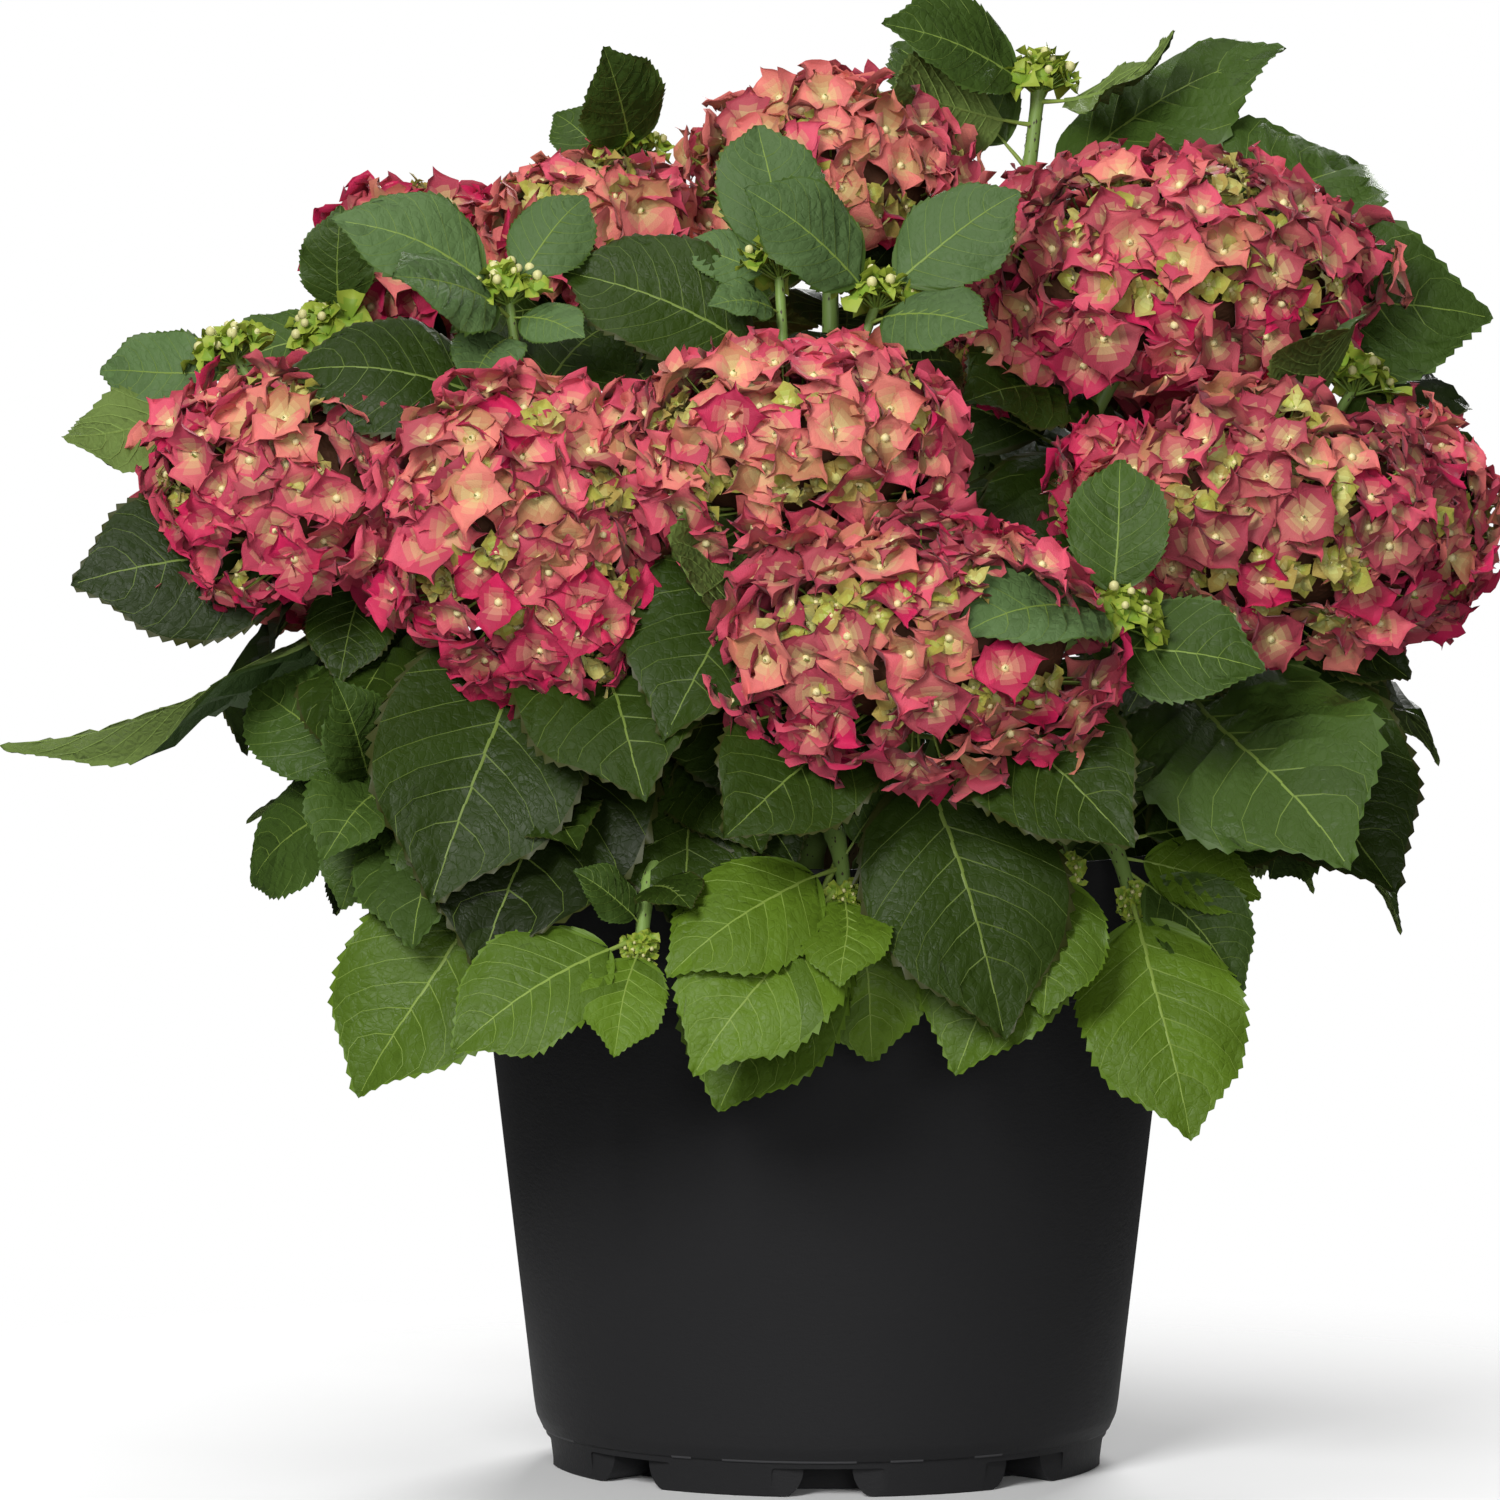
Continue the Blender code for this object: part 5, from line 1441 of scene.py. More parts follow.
def sepal(random, turn, tier, grid):
    """One sepal of a floret of radius 1, as points, quads and fans with their zones."""
    reach = random.uniform(*SEPAL_REACH)
    broad = random.uniform(*SEPAL_BREADTH)
    cup = random.uniform(*SEPAL_CUP)
    recurve = random.uniform(*SEPAL_RECURVE)
    fold = random.uniform(*SEPAL_FOLD)
    sag = random.uniform(*SEPAL_SAG)
    lean = random.uniform(*SEPAL_LEAN)
    wave = random.uniform(*SEPAL_WAVE)
    phase = random.uniform(0.0, 2.0 * pi)
    ruffle = random.uniform(*SEPAL_RUFFLE)
    stations = np.array(grid.stations)
    columns = np.array(grid.columns)[None, :]
    widths = np.array(grid.widths) * broad
    ragged = np.array(grid.ragged)
    left = widths * (1.0 + ragged * random.uniform(-1.0, 1.0, len(stations)))
    right = widths * (1.0 + ragged * random.uniform(-1.0, 1.0, len(stations)))
    y = columns * np.where(columns < 0.0, left[:, None], right[:, None])
    s = stations[:, None] + 0.05 * (1.0 - np.abs(columns)) * np.minimum(stations[:, None] * 4.0, 1.0)
    z = cup * s - recurve * s ** 2 + fold * np.abs(y) - sag * y ** 2 * 2.0 + lean * y * s
    z = z + wave * np.sin(2.0 * pi * 1.5 * s + phase) * columns * s + tier * np.minimum(s * 3.0, 1.0)
    z = z + 0.045 * np.sin(2.0 * pi * 1.1 * columns + phase) * s
    z = z + random.normal(0.0, SEPAL_GRAIN, z.shape) * s
    z = z + ruffle * (np.abs(columns) == 1.0) * s * (1.0 + np.sin(RUFFLES * s + phase * (2.0 + columns)))
    tip_y = random.uniform(*SEPAL_TIP_SWAY)
    tip_z = cup - recurve + tier + lean * tip_y + random.uniform(*SEPAL_TIP_LIFT)
    points = np.stack([s.ravel(), y.ravel(), z.ravel()], -1)
    points = np.vstack([points, (SEPAL_TIP, tip_y, tip_z)])
    points[:, 2] -= SUNK_HEART
    rows, wide = len(stations), columns.size
    quads = ring_faces(rows, wide, closed=False)
    zones = sepal_zones(grid) + ZONES * random.integers(VARIANTS)
    last = (rows - 1) * wide
    tris = np.array([(last + step, last + step + 1, len(points) - 1) for step in range(wide - 1)])
    spin = np.array([[cos(turn), sin(turn), 0.0], [-sin(turn), cos(turn), 0.0], [0.0, 0.0, 1.0]])
    return points * reach @ spin, quads, zones.ravel(), tris, zones.max()


def sepal_zones(grid):
    """The colour zone of each quad of a sepal: from its heart outward, and one later along its sides."""
    rows, wide = len(grid.stations) - 1, len(grid.columns) - 1
    column = np.arange(wide)
    inward = np.minimum(column, wide - 1 - column)[None, :]
    zone = np.array(grid.zones)[:, None]
    zone = np.where(inward == inward.max(), zone, np.vstack([zone[1:], zone[-1:]])) + (inward == 0)
    outer_half = np.arange(rows)[:, None] * 2 >= rows
    return np.minimum(np.where((inward == 0) & outer_half, RIM, zone), RIM)


def floret_kinds(random, grid):
    """The floret shapes that a mophead draws from."""
    return [floret_kind(random, grid) for _ in range(FLORET_KINDS)]


def floret_kind(random, grid):
    """A floret: four or five sepals, every second one a little higher, as arrays ready to be stamped."""
    shape = Sheaf()
    spin = random.uniform(0.0, 2.0 * pi)
    sepals = 5 if random.random() < FIVE_SEPALS else 4
    for number in range(sepals):
        turn = spin + 2.0 * pi * (number + random.uniform(-0.07, 0.07)) / sepals
        shape.add(*sepal(random, turn, 0.07 * (number % 2), grid))
    parts = (shape.points, shape.quads, shape.quad_slots, shape.tris, shape.tri_slots)
    return tuple(np.concatenate(part) for part in parts)


# The dusky mood, given to the front and right mopheads, is partly ageing colour and partly painted shade.
MOODS = {
    "coral": (("coral", 0.54), ("salmon", 0.22), ("crimson", 0.08), ("dusky", 0.16)),
    "salmon": (("coral", 0.36), ("salmon", 0.46), ("crimson", 0.03), ("dusky", 0.15)),
    "ripe": (("coral", 0.20), ("salmon", 0.62), ("lime", 0.10), ("dusky", 0.08)),
    "crimson": (("coral", 0.26), ("salmon", 0.06), ("crimson", 0.56), ("dusky", 0.12)),
    "dusky": (("coral", 0.26), ("salmon", 0.16), ("crimson", 0.08), ("dusky", 0.50)),
}
BLUSHING = {"ripe": 0.06, "coral": 0.34, "salmon": 0.10, "crimson": 0.7, "dusky": 0.26}
KIN = {
    "coral": ("salmon", "crimson"), "salmon": ("coral", "lime"), "crimson": ("coral", "dusky"),
    "dusky": ("salmon", "crimson"), "lime": ("cream", "salmon"),
}
FAMILIES = tuple(KIN)
VARIANTS = 3


def patchy(point, grain, offset):
    """A smooth wandering value from -1 to 1 over space."""
    x, y, z = (value / grain + offset for value in point)
    first = sin(x * 2.1 + 1.3 * sin(y * 1.7))
    second = sin(y * 2.3 + 1.1 * sin(z * 1.9))
    third = sin(z * 2.0 + sin(x * 1.5))
    return (first + second + third) / 3.0


def family_at(top, way, random):
    """The colour of the floret that grows in that direction of a mophead."""
    sunward = -1.0 if top.centre.y < FRONT_REACH else 1.0
    outward = Vector((top.facing.x, top.facing.y + RIPE_LEAN * sunward, top.facing.z))
    crown = way.dot(outward.normalized())
    spot = top.centre + Vector(way[axis] * top.radii[axis] for axis in range(3))
    if crown > RIPE_CROWN and patchy(spot, PATCH_GRAIN, 2.0) > RIPE_PATCH and random.random() < RIPE_CHANCE:
        return "lime"
    if way.z < SHADED_BELOW and random.random() < BLUSHING[top.mood]:
        return "crimson"
    names, shares = zip(*MOODS[top.mood])
    return names[random.choice(len(names), p=shares)]


def floret_ways(top, spacing, random):
    """Directions spread evenly over a mophead down to its skirt."""
    x, y, z = top.radii
    power = AREA_POWER
    area = 4.0 * pi * (((x * y) ** power + (x * z) ** power + (y * z) ** power) / 3.0) ** (1.0 / power)
    count = int(area / spacing ** 2)
    ways = []
    for number in range(count):
        height = 1.0 - 2.0 * (number + 0.5) / count
        flat = sqrt(1.0 - height * height)
        way = Vector((flat * cos(GOLDEN_TURN * number), flat * sin(GOLDEN_TURN * number), height))
        way = (way + Vector(random.uniform(-WAY_SWAY, WAY_SWAY, 3))).normalized()
        if way.dot(top.facing) < SKIRT:
            continue
        family = family_at(top, way, random)
        ways.append((way, family))
        if family == "lime":
            for _ in range(LIME_CLUMP - 1):
                beside = (way + Vector(random.uniform(-CLUMP_SWAY, CLUMP_SWAY, 3))).normalized()
                ways.append((beside, family))
    return ways


def partings():
    """Lines along the twig leaves that lie over the mopheads beside them."""
    lines = []
    for shoot in SHOOTS:
        for branch in shoot.twigs:
            own = twig_curve(stem_curve(shoot), shoot.part, branch)
            lines += [(bend(*own, part.share), part.tip) for part in branch.leaves if part.look == "over"]
    return lines


def hides_leaf(centre, lines):
    """Whether a floret stands in front of such a leaf."""
    for start, end in lines:
        across, rise = end.x - start.x, end.z - start.z
        share = ((centre[0] - start.x) * across + (centre[2] - start.z) * rise) / (across ** 2 + rise ** 2)
        share = min(max(share, 0.0), 1.0)
        near = start.lerp(end, share)
        apart = hypot(centre[0] - near.x, centre[2] - near.z)
        if apart < PARTING * (0.3 + 0.7 * sin(pi * share)) and centre[1] < near.y:
            return True
    return False


def crowded(centre, top):
    """Whether a floret of one mophead would grow inside another."""
    return any(
        other is not top and np.linalg.norm((centre - other.centre) / other.radii) < INSIDE
        for other in DOMES)


def floret_stance(way, top, random):
    """How a floret stands: the way it faces, a little tilted, and its three axes at a random turn."""
    normal = Vector(way[axis] / top.radii[axis] for axis in range(3)).normalized()
    normal = (normal + Vector(random.uniform(-FLORET_TILT, FLORET_TILT, 3))).normalized()
    across = normal.orthogonal().normalized()
    across = Matrix.Rotation(random.uniform(0.0, 2.0 * pi), 3, normal) @ across
    return normal, np.array([across, normal.cross(across), normal])


def floret_place(way, top, small, parted, random):
    """Where a floret grows, or nothing where another mophead or a leaf is in its way."""
    level = random.uniform(*(LIME_LEVELS if small else FLORET_LEVELS))
    if not small and random.random() < STRAGGLERS:
        level = random.uniform(*STRAGGLER_LEVELS)
    centre = np.array(top.centre) + np.array(way) * np.array(top.radii) * level
    if crowded(centre, top) or hides_leaf(centre, parted):
        return None
    if way.dot(top.facing) < HANGING:
        centre[2] -= random.uniform(0.0, HANG)
    return centre


def grow_heads(sizes):
    """All florets, by colour family and by side of the plant, with the stalks under them."""
    random = np.random.default_rng(FINE_SEED + 3)
    kinds = {name: floret_kinds(random, grid) for name, grid in (
        ("broad", BROAD_SEPAL), ("rear", REAR_SEPAL), ("small", SMALL_SEPAL))}
    bead_points, bead_faces = ball(1)
    core_points, core_faces = ball(3)
    groups = {}
    stalks = Sheaf()
    bead_slot = VARIANTS * ZONES
    parted = partings()
    for top in DOMES:
        radii = np.array(top.radii)
        # A solid core in each mophead stands in for its branching stalks; its dark olive pink is painted
        # shade for the shadowed inside of the head.
        core = core_points * np.maximum(radii * CORE, radii - CORE_DEPTH)
        stalks.add(np.array(top.centre) + core, tris=core_faces, tri_slots=STALK + 1)
        side = "back" if top.centre.y > FRONT_REACH else "front"
        base = top.centre - top.facing * BRANCHING * min(top.radii)
        for way, family in floret_ways(top, sizes.floret_spacing, random):
            small = family == "lime"
            size = sizes.floret_radius * random.uniform(*(LIME_SIZES if small else FLORET_SIZES))
            centre = floret_place(way, top, small, parted, random)
            if centre is None:
                continue
            normal, basis = floret_stance(way, top, random)
            plain = way.y > (HIDDEN_SIDE if side == "front" else REAR_VIEW)
            shapes = kinds["small" if small else "rear" if plain else "broad"]
            points, quads, quad_zone, tris, tri_zone = shapes[random.integers(len(shapes))]
            variant = random.integers(VARIANTS) * ZONES
            quad_zone, tri_zone = (quad_zone + variant) % bead_slot, (tri_zone + variant) % bead_slot
            group = groups.setdefault((family, side), Sheaf())
            stretch = np.array([1.0, 1.0, LIME_STRETCH if small else 1.0])
            group.add(centre + (points * stretch * size) @ basis, quads, quad_zone, tris, tri_zone)
            bead = sizes.floret_bead * (LIME_BEAD if small else random.uniform(*BEAD_SIZES))
            middle = centre + np.array(normal) * (bead * BEAD_SEAT - SUNK_HEART * size * stretch[2])
            group.add(middle + bead_points * bead, tris=bead_faces, tri_slots=bead_slot)
            thread(stalks, base.lerp(Vector(centre), THREAD_START), Vector(centre) - normal * THREAD_END)
    return groups, stalks


def thread(gathered, start, end):
    """A thin three-sided stalk between two points."""
    ahead = (end - start).normalized()
    across = ahead.orthogonal().normalized()
    up = ahead.cross(across)
    rows = []
    for centre, radius in zip((start, end), THREAD_RADII):
        for side in range(THREAD_SIDES):
            angle = 2.0 * pi * side / THREAD_SIDES
            rows.append(centre + (across * cos(angle) + up * sin(angle)) * radius)
    gathered.add(np.array(rows), ring_faces(2, THREAD_SIDES), STALK)


# ---------------------------------------------------------------- bud clusters

BUD, BRACT, BRACT_RIM = range(3)
CLUSTER_SPREAD = 0.0175
CLUSTER_BUDS = 13
CLUSTER_BRACTS = 15
CLUSTER_LEAN = Vector((0.0, 0.0, 0.8))
BUD_SPREAD = 0.92
BUD_LIFT = 0.0115
BUD_DOMING = 0.008
BUD_SWAY = 0.0025
BUD_HEIGHT = 1.08
BRACT_TURN = 1.2
BRACT_LIFT = 0.009
BRACT_DOMING = 0.010
BRACT_FLARE = 1.1
BRACT_TILT = 0.3
BRACT_CUP = 1.6
BRACT_STALK = 0.002
CLUSTER_SIZES = (0.7, 1.15)
CLUSTER_FOOT = 0.006
YOUNG_CLUSTER = 0.45
FULL_CLUSTERS = ("high_right", "middle")


def around(axis, count, start):
    """Shares from the middle of a cluster outward, each with its direction round the axis."""
    across = axis.orthogonal().normalized()
    up = axis.cross(across)
    for number in range(count):
        turn = GOLDEN_TURN * number + start
        yield (number + 0.5) / count, across * cos(turn) + up * sin(turn)


def grow_cluster(buds, stalks, tip, ahead, scale, kinds, sizes, random):
    """One cluster at a tip: closed buds on short stalks among small frilly cupped bracts."""
    bead_points, bead_faces = ball(2 if scale == 1.0 else 1)
    axis = (ahead.normalized() + CLUSTER_LEAN).normalized()
    foot = tip - axis * CLUSTER_FOOT * scale
    for share, out in around(axis, CLUSTER_BUDS, 0.0):
        lift = BUD_LIFT - BUD_DOMING * share + random.uniform(-BUD_SWAY, BUD_SWAY)
        spot = tip + (out * CLUSTER_SPREAD * sqrt(share) * BUD_SPREAD + axis * lift) * scale
        points = bead_points * sizes.bud_bead * scale * random.uniform(*CLUSTER_SIZES)
        buds.add(np.array(spot) + points * np.array([1.0, 1.0, BUD_HEIGHT]), tris=bead_faces, tri_slots=BUD)
        thread(stalks, foot, spot)
    for share, out in around(axis, CLUSTER_BRACTS, BRACT_TURN):
        lift = BRACT_LIFT - BRACT_DOMING * share
        spot = tip + (out * CLUSTER_SPREAD * sqrt(share) + axis * lift) * scale
        tilt = Vector(random.uniform(-BRACT_TILT, BRACT_TILT, 3))
        facing = (axis + out * BRACT_FLARE * share + tilt).normalized()
        side = facing.orthogonal().normalized()
        basis = np.array([side, facing.cross(side), facing])
        points, quads, quad_zone, tris, _ = kinds[random.integers(len(kinds))]
        size = sizes.bud_bract * scale * random.uniform(*CLUSTER_SIZES) * np.array([1.0, 1.0, BRACT_CUP])
        slots = np.where(quad_zone % ZONES >= EDGE, BRACT_RIM, BRACT)
        buds.add(np.array(spot) + (points * size) @ basis, quads, slots, tris, BRACT_RIM)
        thread(stalks, foot, spot - facing * BRACT_STALK * scale)


def grow_buds(sizes):
    """The clusters at the tips of twigs and, still small, of leafy shoots."""
    random = np.random.default_rng(FINE_SEED + 4)
    kinds = floret_kinds(random, SMALL_SEPAL)
    buds = Sheaf()
    stalks = Sheaf()
    for shoot in SHOOTS:
        curve = stem_curve(shoot)
        for branch in shoot.twigs:
            ahead = heading(*twig_curve(curve, shoot.part, branch), 1.0)
            grow_cluster(buds, stalks, branch.tip, ahead, 1.0, kinds, sizes, random)
        if not shoot.domes:
            scale = 1.0 if shoot.name in FULL_CLUSTERS else YOUNG_CLUSTER
            grow_cluster(buds, stalks, shoot.tip, heading(*curve, 1.0), scale, kinds, sizes, random)
    return buds, stalks


# ---------------------------------------------------------------- stage

CAMERA_AIM = (-0.0345, 0.0, 0.322)
CAMERA_REACH = 5.0
CAMERA_PITCH = 4.3
FRAME_WIDTH = 0.6765
SENSOR_WIDTH = 36.0
FLOOR_HALF = 0.62
FLOOR_FADE = 0.18
AIR_LIGHT = 0.09
LAMP_AIM = (0.0, 0.0, 0.36)
LAMPS = (
    ("key_lamp", (-1.5, -3.5, 2.3), 1.4, 155.0),
    ("fill_lamp", (0.4, -4.2, 0.8), 1.4, 54.0),
    ("top_lamp", (-0.3, -0.3, 2.8), 1.6, 26.0),
    ("back_lamp", (0.7, 3.2, 2.1), 1.6, 105.0),
)


def add_lamp(name, place, size, power):
    """A soft square lamp turned towards the middle of the plant."""
    lamp = bpy.data.lights.new(name, "AREA")
    lamp.size = size
    lamp.energy = power
    item = bpy.data.objects.new(name, lamp)
    item.location = place
    item.rotation_euler = (Vector(LAMP_AIM) - Vector(place)).to_track_quat("-Z", "Y").to_euler()
    bpy.context.scene.collection.objects.link(item)


def add_floor(white):
    """A pale floor that fades out to the backdrop."""
    finish = Finish("studio_floor", white, 0.9)
    finish.feed("Roughness", finish.noise(0.4) * 0.1 + 0.85)
    away = finish.node("ShaderNodeVectorMath", {"operation": "LENGTH"}, [finish.place()], output=1)
    finish.feed("Alpha", finish.node("ShaderNodeMapRange", None, {
        "Value": away, "From Min": FLOOR_FADE, "From Max": FLOOR_HALF, "To Min": 1.0, "To Max": 0.0}))
    mesh = bpy.data.meshes.new("studio_floor")
    corners = [(x * FLOOR_HALF, y * FLOOR_HALF, 0.0) for x, y in ((-1, -1), (1, -1), (1, 1), (-1, 1))]
    mesh.from_pydata(corners, [], [(0, 1, 2, 3)])
    mesh.materials.append(finish.material)
    floor = bpy.data.objects.new("studio_floor", mesh)
    bpy.context.scene.collection.objects.link(floor)


def add_air():
    """A white backdrop for the camera that gives little light."""
    world = bpy.data.worlds.new("studio_air")
    world.use_nodes = True
    nodes, links = world.node_tree.nodes, world.node_tree.links
    sky = nodes["Background"]
    sky.inputs["Color"].default_value = (1.0, 1.0, 1.0, 1.0)
    seen = nodes.new("ShaderNodeLightPath")
    glow = nodes.new("ShaderNodeMapRange")
    glow.inputs["To Min"].default_value = AIR_LIGHT
    glow.inputs["To Max"].default_value = 1.0
    links.new(seen.outputs["Is Camera Ray"], glow.inputs["Value"])
    links.new(glow.outputs["Result"], sky.inputs["Strength"])
    bpy.context.scene.world = world


def add_camera():
    """The camera in front, a little above the plant's middle and turned down to it."""
    scene = bpy.context.scene
    camera = bpy.data.cameras.new("camera")
    camera.sensor_width = SENSOR_WIDTH
    camera.lens = SENSOR_WIDTH * CAMERA_REACH / FRAME_WIDTH
    camera.clip_end = 200.0
    item = bpy.data.objects.new("camera", camera)
    pitch = radians(CAMERA_PITCH)
    aim = Vector(CAMERA_AIM)
    item.location = aim + Vector((0.0, -cos(pitch), sin(pitch))) * CAMERA_REACH
    item.rotation_euler = (aim - item.location).to_track_quat("-Z", "Y").to_euler()
    scene.collection.objects.link(item)
    scene.camera = item


class STAGE_OT_studio(Operator):
    """Pale floor, soft studio light and the camera"""
    bl_idname = "shrub.studio"
    bl_label = "Studio"

    def execute(self, context):
        scene = context.scene
        add_floor(scene.shrub_colours.floor_white)
        add_air()
        for lamp in LAMPS:
            add_lamp(*lamp)
        add_camera()
        scene.view_settings.view_transform = "Standard"
        return {"FINISHED"}


# ---------------------------------------------------------------- one operator for each kind of piece

class SHRUB_OT_pot(Operator):
    """Moulded pot with its rim band, foot ledge and drainage notches"""
    bl_idname = "shrub.pot"
    bl_label = "Pot"

    def execute(self, context):
        colours = context.scene.shrub_colours
        black = plastic_finish("pot_plastic_moulded", colours.pot_black)
        pale = plastic_finish("pot_plastic_worn", shaded(colours.pot_black, PALE_LINE_PALENESS))
        shell = Sheaf()
        shell.add(*turned(pot_profile(), POT_SIDES))
        pot = shell.piece("pot_moulded", [black])
        close_shell(pot.data)
        for name, outline, depth in (
            ("recess", recess_outline(), NOTCH_RECESS_DEPTH), ("channel", channel_outline(), NOTCH_DEPTH),
        ):
            cutter = notch_cutter(name, outline, depth)
            context.scene.collection.objects.link(cutter)
            cut = pot.modifiers.new(name, "BOOLEAN")
            cut.operation = "DIFFERENCE"
            cut.solver = "EXACT"
            cut.object = cutter
            pot.data = bpy.data.meshes.new_from_object(
                pot.evaluated_get(context.evaluated_depsgraph_get()))
            pot.modifiers.clear()
            bpy.data.objects.remove(cutter, do_unlink=True)
        pot.data.name = "pot_moulded"
        pot.data.shade_smooth()
        pot.data.set_sharp_from_angle(angle=radians(SHARP_ANGLE))
        finish_piece(pot, ["pot"])
        edge = worn_edge().piece("pot_worn_edge", [pale])
        finish_piece(edge, ["pot"])
        return {"FINISHED"}


class SHRUB_OT_soil(Operator):
    """Crumbly potting soil"""
    bl_idname = "shrub.soil"
    bl_label = "Soil"

    def execute(self, context):
        brown = soil_finish("potting_soil_crumbly", context.scene.shrub_colours.soil_brown)
        soil = crumbly_soil().piece("soil_crumbly", [brown])
        finish_piece(soil, ["soil"])
        return {"FINISHED"}


class SHRUB_OT_stems(Operator):
    """Boughs, shoots and twigs with their joints and specks"""
    bl_idname = "shrub.stems"
    bl_label = "Stems"

    def execute(self, context):
        colours = context.scene.shrub_colours
        materials = [
            stem_finish("stem_old_wood", colours.bark_brown, 0.0007),
            stem_finish("stem_young", colours.stem_green, 0.00035),
            stem_finish("stem_specks", mixed(colours.bark_brown, (0.01, 0.008, 0.008), 0.75), 0.0002),
        ]
        stems = grow_stems().piece("stems", materials)
        finish_piece(stems, ["stem_" + shoot.name for shoot in SHOOTS])
        return {"FINISHED"}


def leaf_finishes(colours):
    """Every finish of the leaves, in the order of their slots."""
    deep, old = colours.deep_green, colours.old_green
    mid, blue, young = colours.mid_green, colours.blue_green, colours.young_green
    # Lighter and darker copies of each green. A leaf takes one of its look's copies at random, and the vein
    # panels that step to the next copy show painted shade.
    tints = (
        deep, mixed(deep, old, 0.5), old, shaded(old, 1.22), mid, shaded(mid, 0.82), blue,
        shaded(blue, 0.86), young, shaded(young, 1.16), mixed(young, mid, 0.35),
    )
    gloss = (0.50,) * 4 + (0.52,) * 2 + (0.56,) * 2 + (0.48,) * 3
    materials = [
        blade_finish("leaf_tint_" + str(number), tint, shine)
        for number, (tint, shine) in enumerate(zip(tints, gloss))
    ]
    vein, under = colours.vein_green, colours.underside
    kinds = ("old", old), ("fresh", mid), ("young", young)
    edges = mixed(old, colours.edge_brown, 0.12), shaded(mid, 1.15), shaded(young, 1.15)
    for (kind, _), edge in zip(kinds, edges):
        materials.append(vein_finish("leaf_edge_" + kind, edge))
    for (kind, base), share in zip(kinds, (0.45, 0.35, 0.25)):
        materials.append(vein_finish("leaf_vein_" + kind, mixed(vein, base, share)))
    for (kind, base), share in zip(kinds, (0.45, 0.15, 0.45)):
        materials.append(underside_finish("leaf_under_" + kind, mixed(under, base, share)))
    materials.append(underside_finish("leaf_under_vein", shaded(under, 1.3)))
    materials.append(stem_finish("leaf_stalk", vein, 0.0002))
    side_bases = shaded(old, 1.1), mid, young
    for (kind, _), base, share in zip(kinds, side_bases, (0.66, 0.60, 0.44)):
        materials.append(vein_finish("leaf_side_vein_" + kind, mixed(vein, base, share)))
    return materials


class SHRUB_OT_leaves(Operator):
    """Toothed, veined leaves on their stalks"""
    bl_idname = "shrub.leaves"
    bl_label = "Leaves"

    def execute(self, context):
        scene = context.scene
        colours = scene.shrub_colours
        materials = leaf_finishes(colours)
        random = np.random.default_rng(FINE_SEED + 5)
        groups = {}
        for number, shoot in enumerate(SHOOTS):
            for blade in standing_blades(number, shoot):
                kind = LOOKS[blade.look].piece
                side = "back" if kind == "old" and blade.tip.y > 0.0 else "front"
                grow_leaf(groups.setdefault((kind, side), Sheaf()), blade, random, scene.shrub_sizes)
        for (kind, side), gathered in groups.items():
            leaves = gathered.piece("leaves_" + kind + "_" + side, materials)
            finish_piece(leaves, MASSES)
        return {"FINISHED"}


HEART_BLENDS = (0.66, 0.44, 0.20)


def sepal_finishes(colours):
    """For each colour family, the finishes of every zone of a sepal in three variants."""
    finishes = {}
    for family in FAMILIES:
        base = getattr(colours, family)
        near, far = (getattr(colours, kin) for kin in KIN[family])
        heart = mixed(colours.cream, base if family == "crimson" else colours.lime, 0.4)
        flush = mixed(base, colours.coral if family == "lime" else colours.crimson, 0.32)
        bodies = shaded(base, 1.05), mixed(base, near, 0.3), shaded(mixed(base, far, 0.28), 0.82)
        finishes[family] = []
        for variant, body in enumerate(bodies):
            zone_colours = (
                *(mixed(body, heart, share) for share in HEART_BLENDS), body,
                mixed(body, flush, 0.35), shaded(mixed(body, flush, 0.5), 0.93))
            for zone, zone_colour in zip(SEPAL_ZONES, zone_colours):
                name = "_".join(("sepal", family, str(variant), zone))
                finishes[family].append(sepal_finish(name, zone_colour))
    return finishes


class SHRUB_OT_heads(Operator):
    """Mopheads of broad-sepalled florets on thin stalks"""
    bl_idname = "shrub.heads"
    bl_label = "Mopheads"

    def execute(self, context):
        scene = context.scene
        colours = scene.shrub_colours
        groups, stalks = grow_heads(scene.shrub_sizes)
        cream = bead_finish("floret_bead", colours.cream)
        finishes = sepal_finishes(colours)
        for (family, side), gathered in groups.items():
            florets = gathered.piece("florets_" + family + "_" + side, finishes[family] + [cream])
            finish_piece(florets, FLOWERING)
        pale = stem_finish("floret_stalk", mixed(colours.stem_green, colours.lime, 0.4), 0.0001)
        # The core's dark olive pink is painted shade for the inside of the mopheads.
        deep = underside_finish("floret_branching", mixed(colours.old_green, colours.dusky, 0.25))
        threads = stalks.piece("floret_stalks", [pale] * (STALK + 1) + [deep])
        finish_piece(threads, FLOWERING)
        return {"FINISHED"}


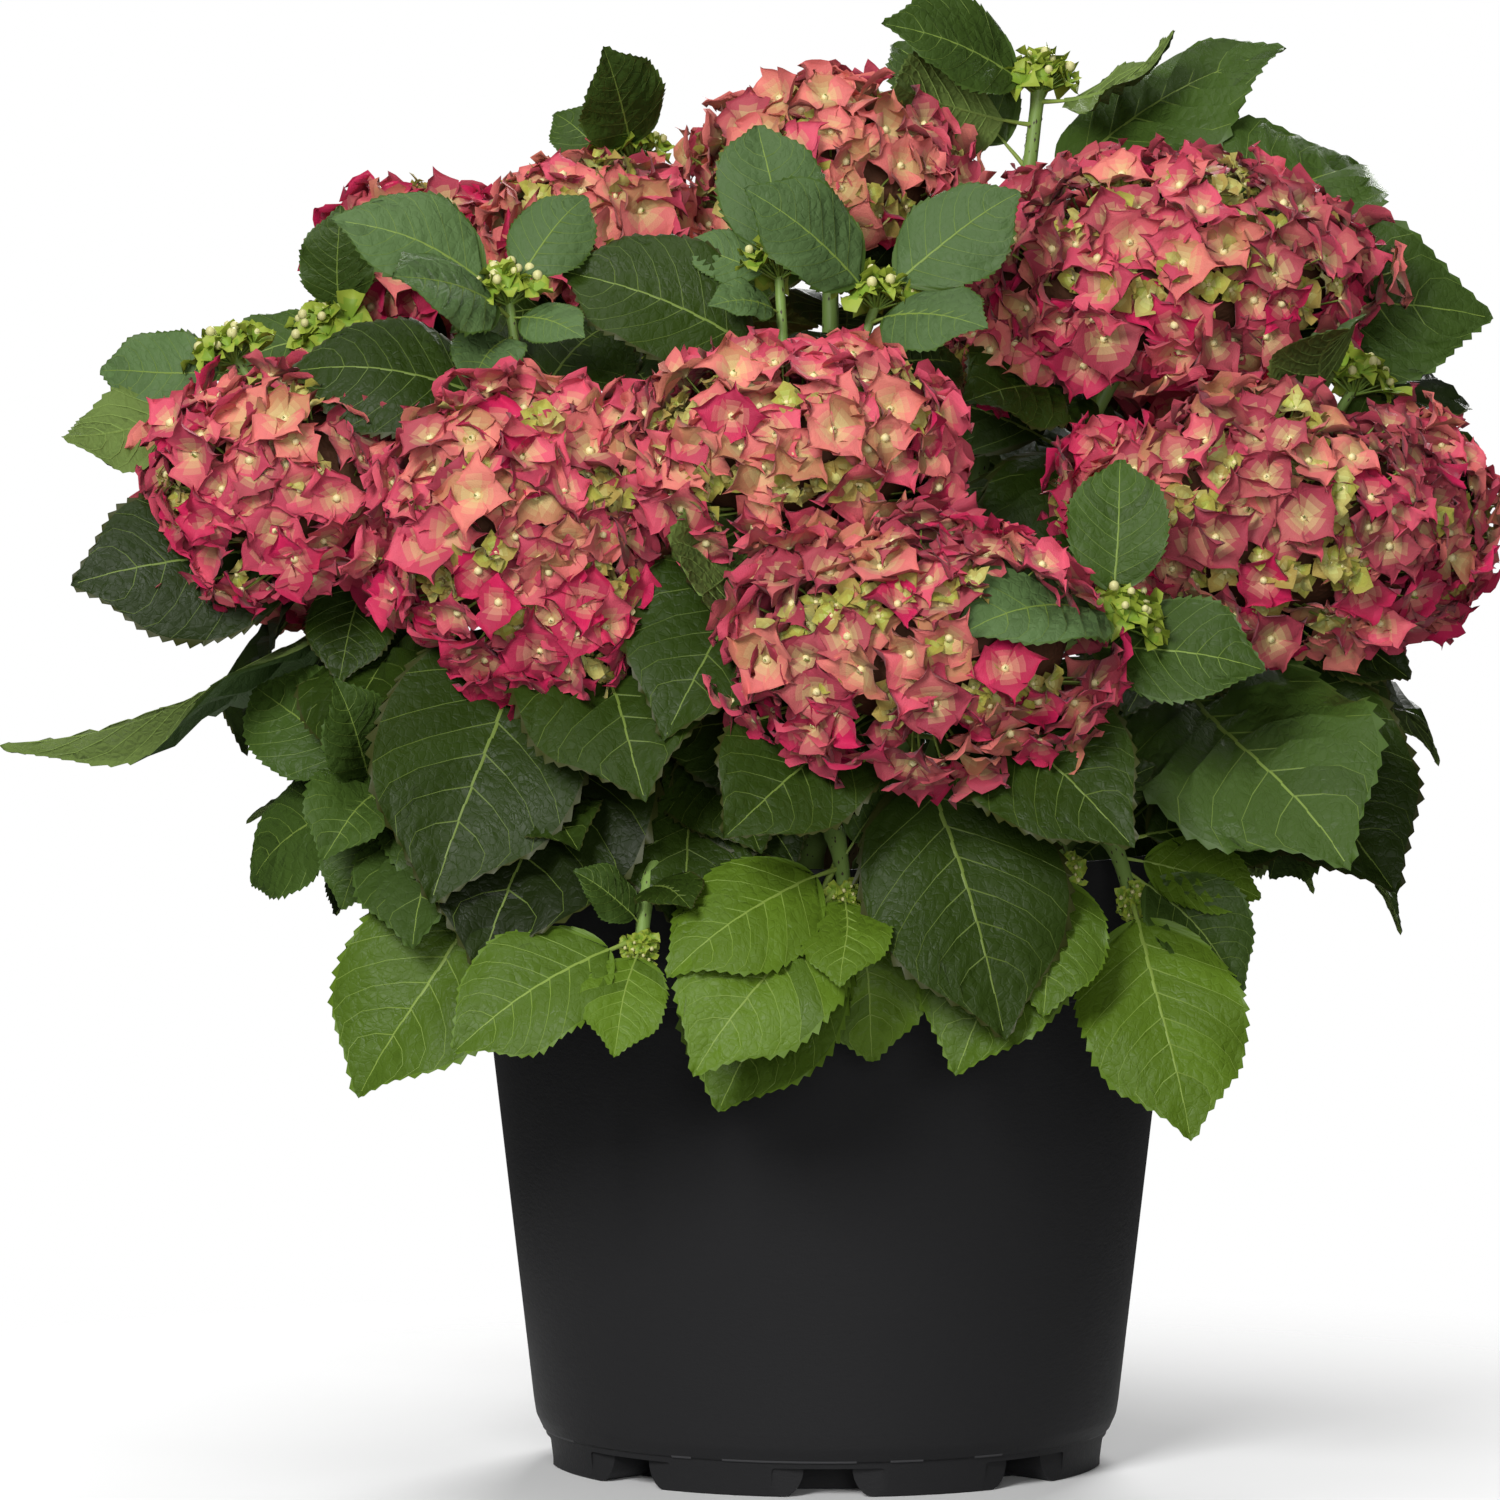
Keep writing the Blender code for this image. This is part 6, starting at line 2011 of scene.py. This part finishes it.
class SHRUB_OT_buds(Operator):
    """Clusters of closed buds and bracts"""
    bl_idname = "shrub.buds"
    bl_label = "Buds"

    def execute(self, context):
        colours = context.scene.shrub_colours
        gathered, stalks = grow_buds(context.scene.shrub_sizes)
        buds = gathered.piece("bud_clusters", [
            bead_finish("bud_cream", mixed(colours.cream, colours.bud_green, 0.3)),
            vein_finish("bract_green", colours.bud_green),
            vein_finish("bract_rim", mixed(colours.bud_green, colours.lime, 0.6)),
        ])
        finish_piece(buds, BUDDED)
        pale = stem_finish("bud_stalk", mixed(colours.stem_green, colours.bud_green, 0.6), 0.0001)
        threads = stalks.piece("bud_stalks", [pale] * (STALK + 1))
        finish_piece(threads, BUDDED)
        return {"FINISHED"}


class SHRUB_PT_panel(Panel):
    """The shrub's pieces, sizes and colours"""
    bl_idname = "SHRUB_PT_panel"
    bl_label = "Potted Hydrangea"
    bl_space_type = "VIEW_3D"
    bl_region_type = "UI"
    bl_category = "Hydrangea"

    def draw(self, context):
        for operator in OPERATORS:
            self.layout.operator(operator.bl_idname)
        for group in (context.scene.shrub_sizes, context.scene.shrub_colours):
            box = self.layout.box()
            for name in group.__annotations__:
                box.prop(group, name)


OPERATORS = (
    STAGE_OT_studio, SHRUB_OT_pot, SHRUB_OT_soil, SHRUB_OT_stems,
    SHRUB_OT_leaves, SHRUB_OT_heads, SHRUB_OT_buds,
)
CLASSES = (ShrubSizes, ShrubColours, *OPERATORS, SHRUB_PT_panel)


def register():
    for item in CLASSES:
        bpy.utils.register_class(item)
    bpy.types.Scene.shrub_sizes = PointerProperty(type=ShrubSizes)
    bpy.types.Scene.shrub_colours = PointerProperty(type=ShrubColours)


def unregister():
    del bpy.types.Scene.shrub_colours
    del bpy.types.Scene.shrub_sizes
    for item in reversed(CLASSES):
        bpy.utils.unregister_class(item)


def main():
    register()
    bpy.ops.shrub.studio()
    bpy.ops.shrub.pot()
    bpy.ops.shrub.soil()
    bpy.ops.shrub.stems()
    bpy.ops.shrub.leaves()
    bpy.ops.shrub.heads()
    bpy.ops.shrub.buds()


if __name__ == "__main__":
    main()
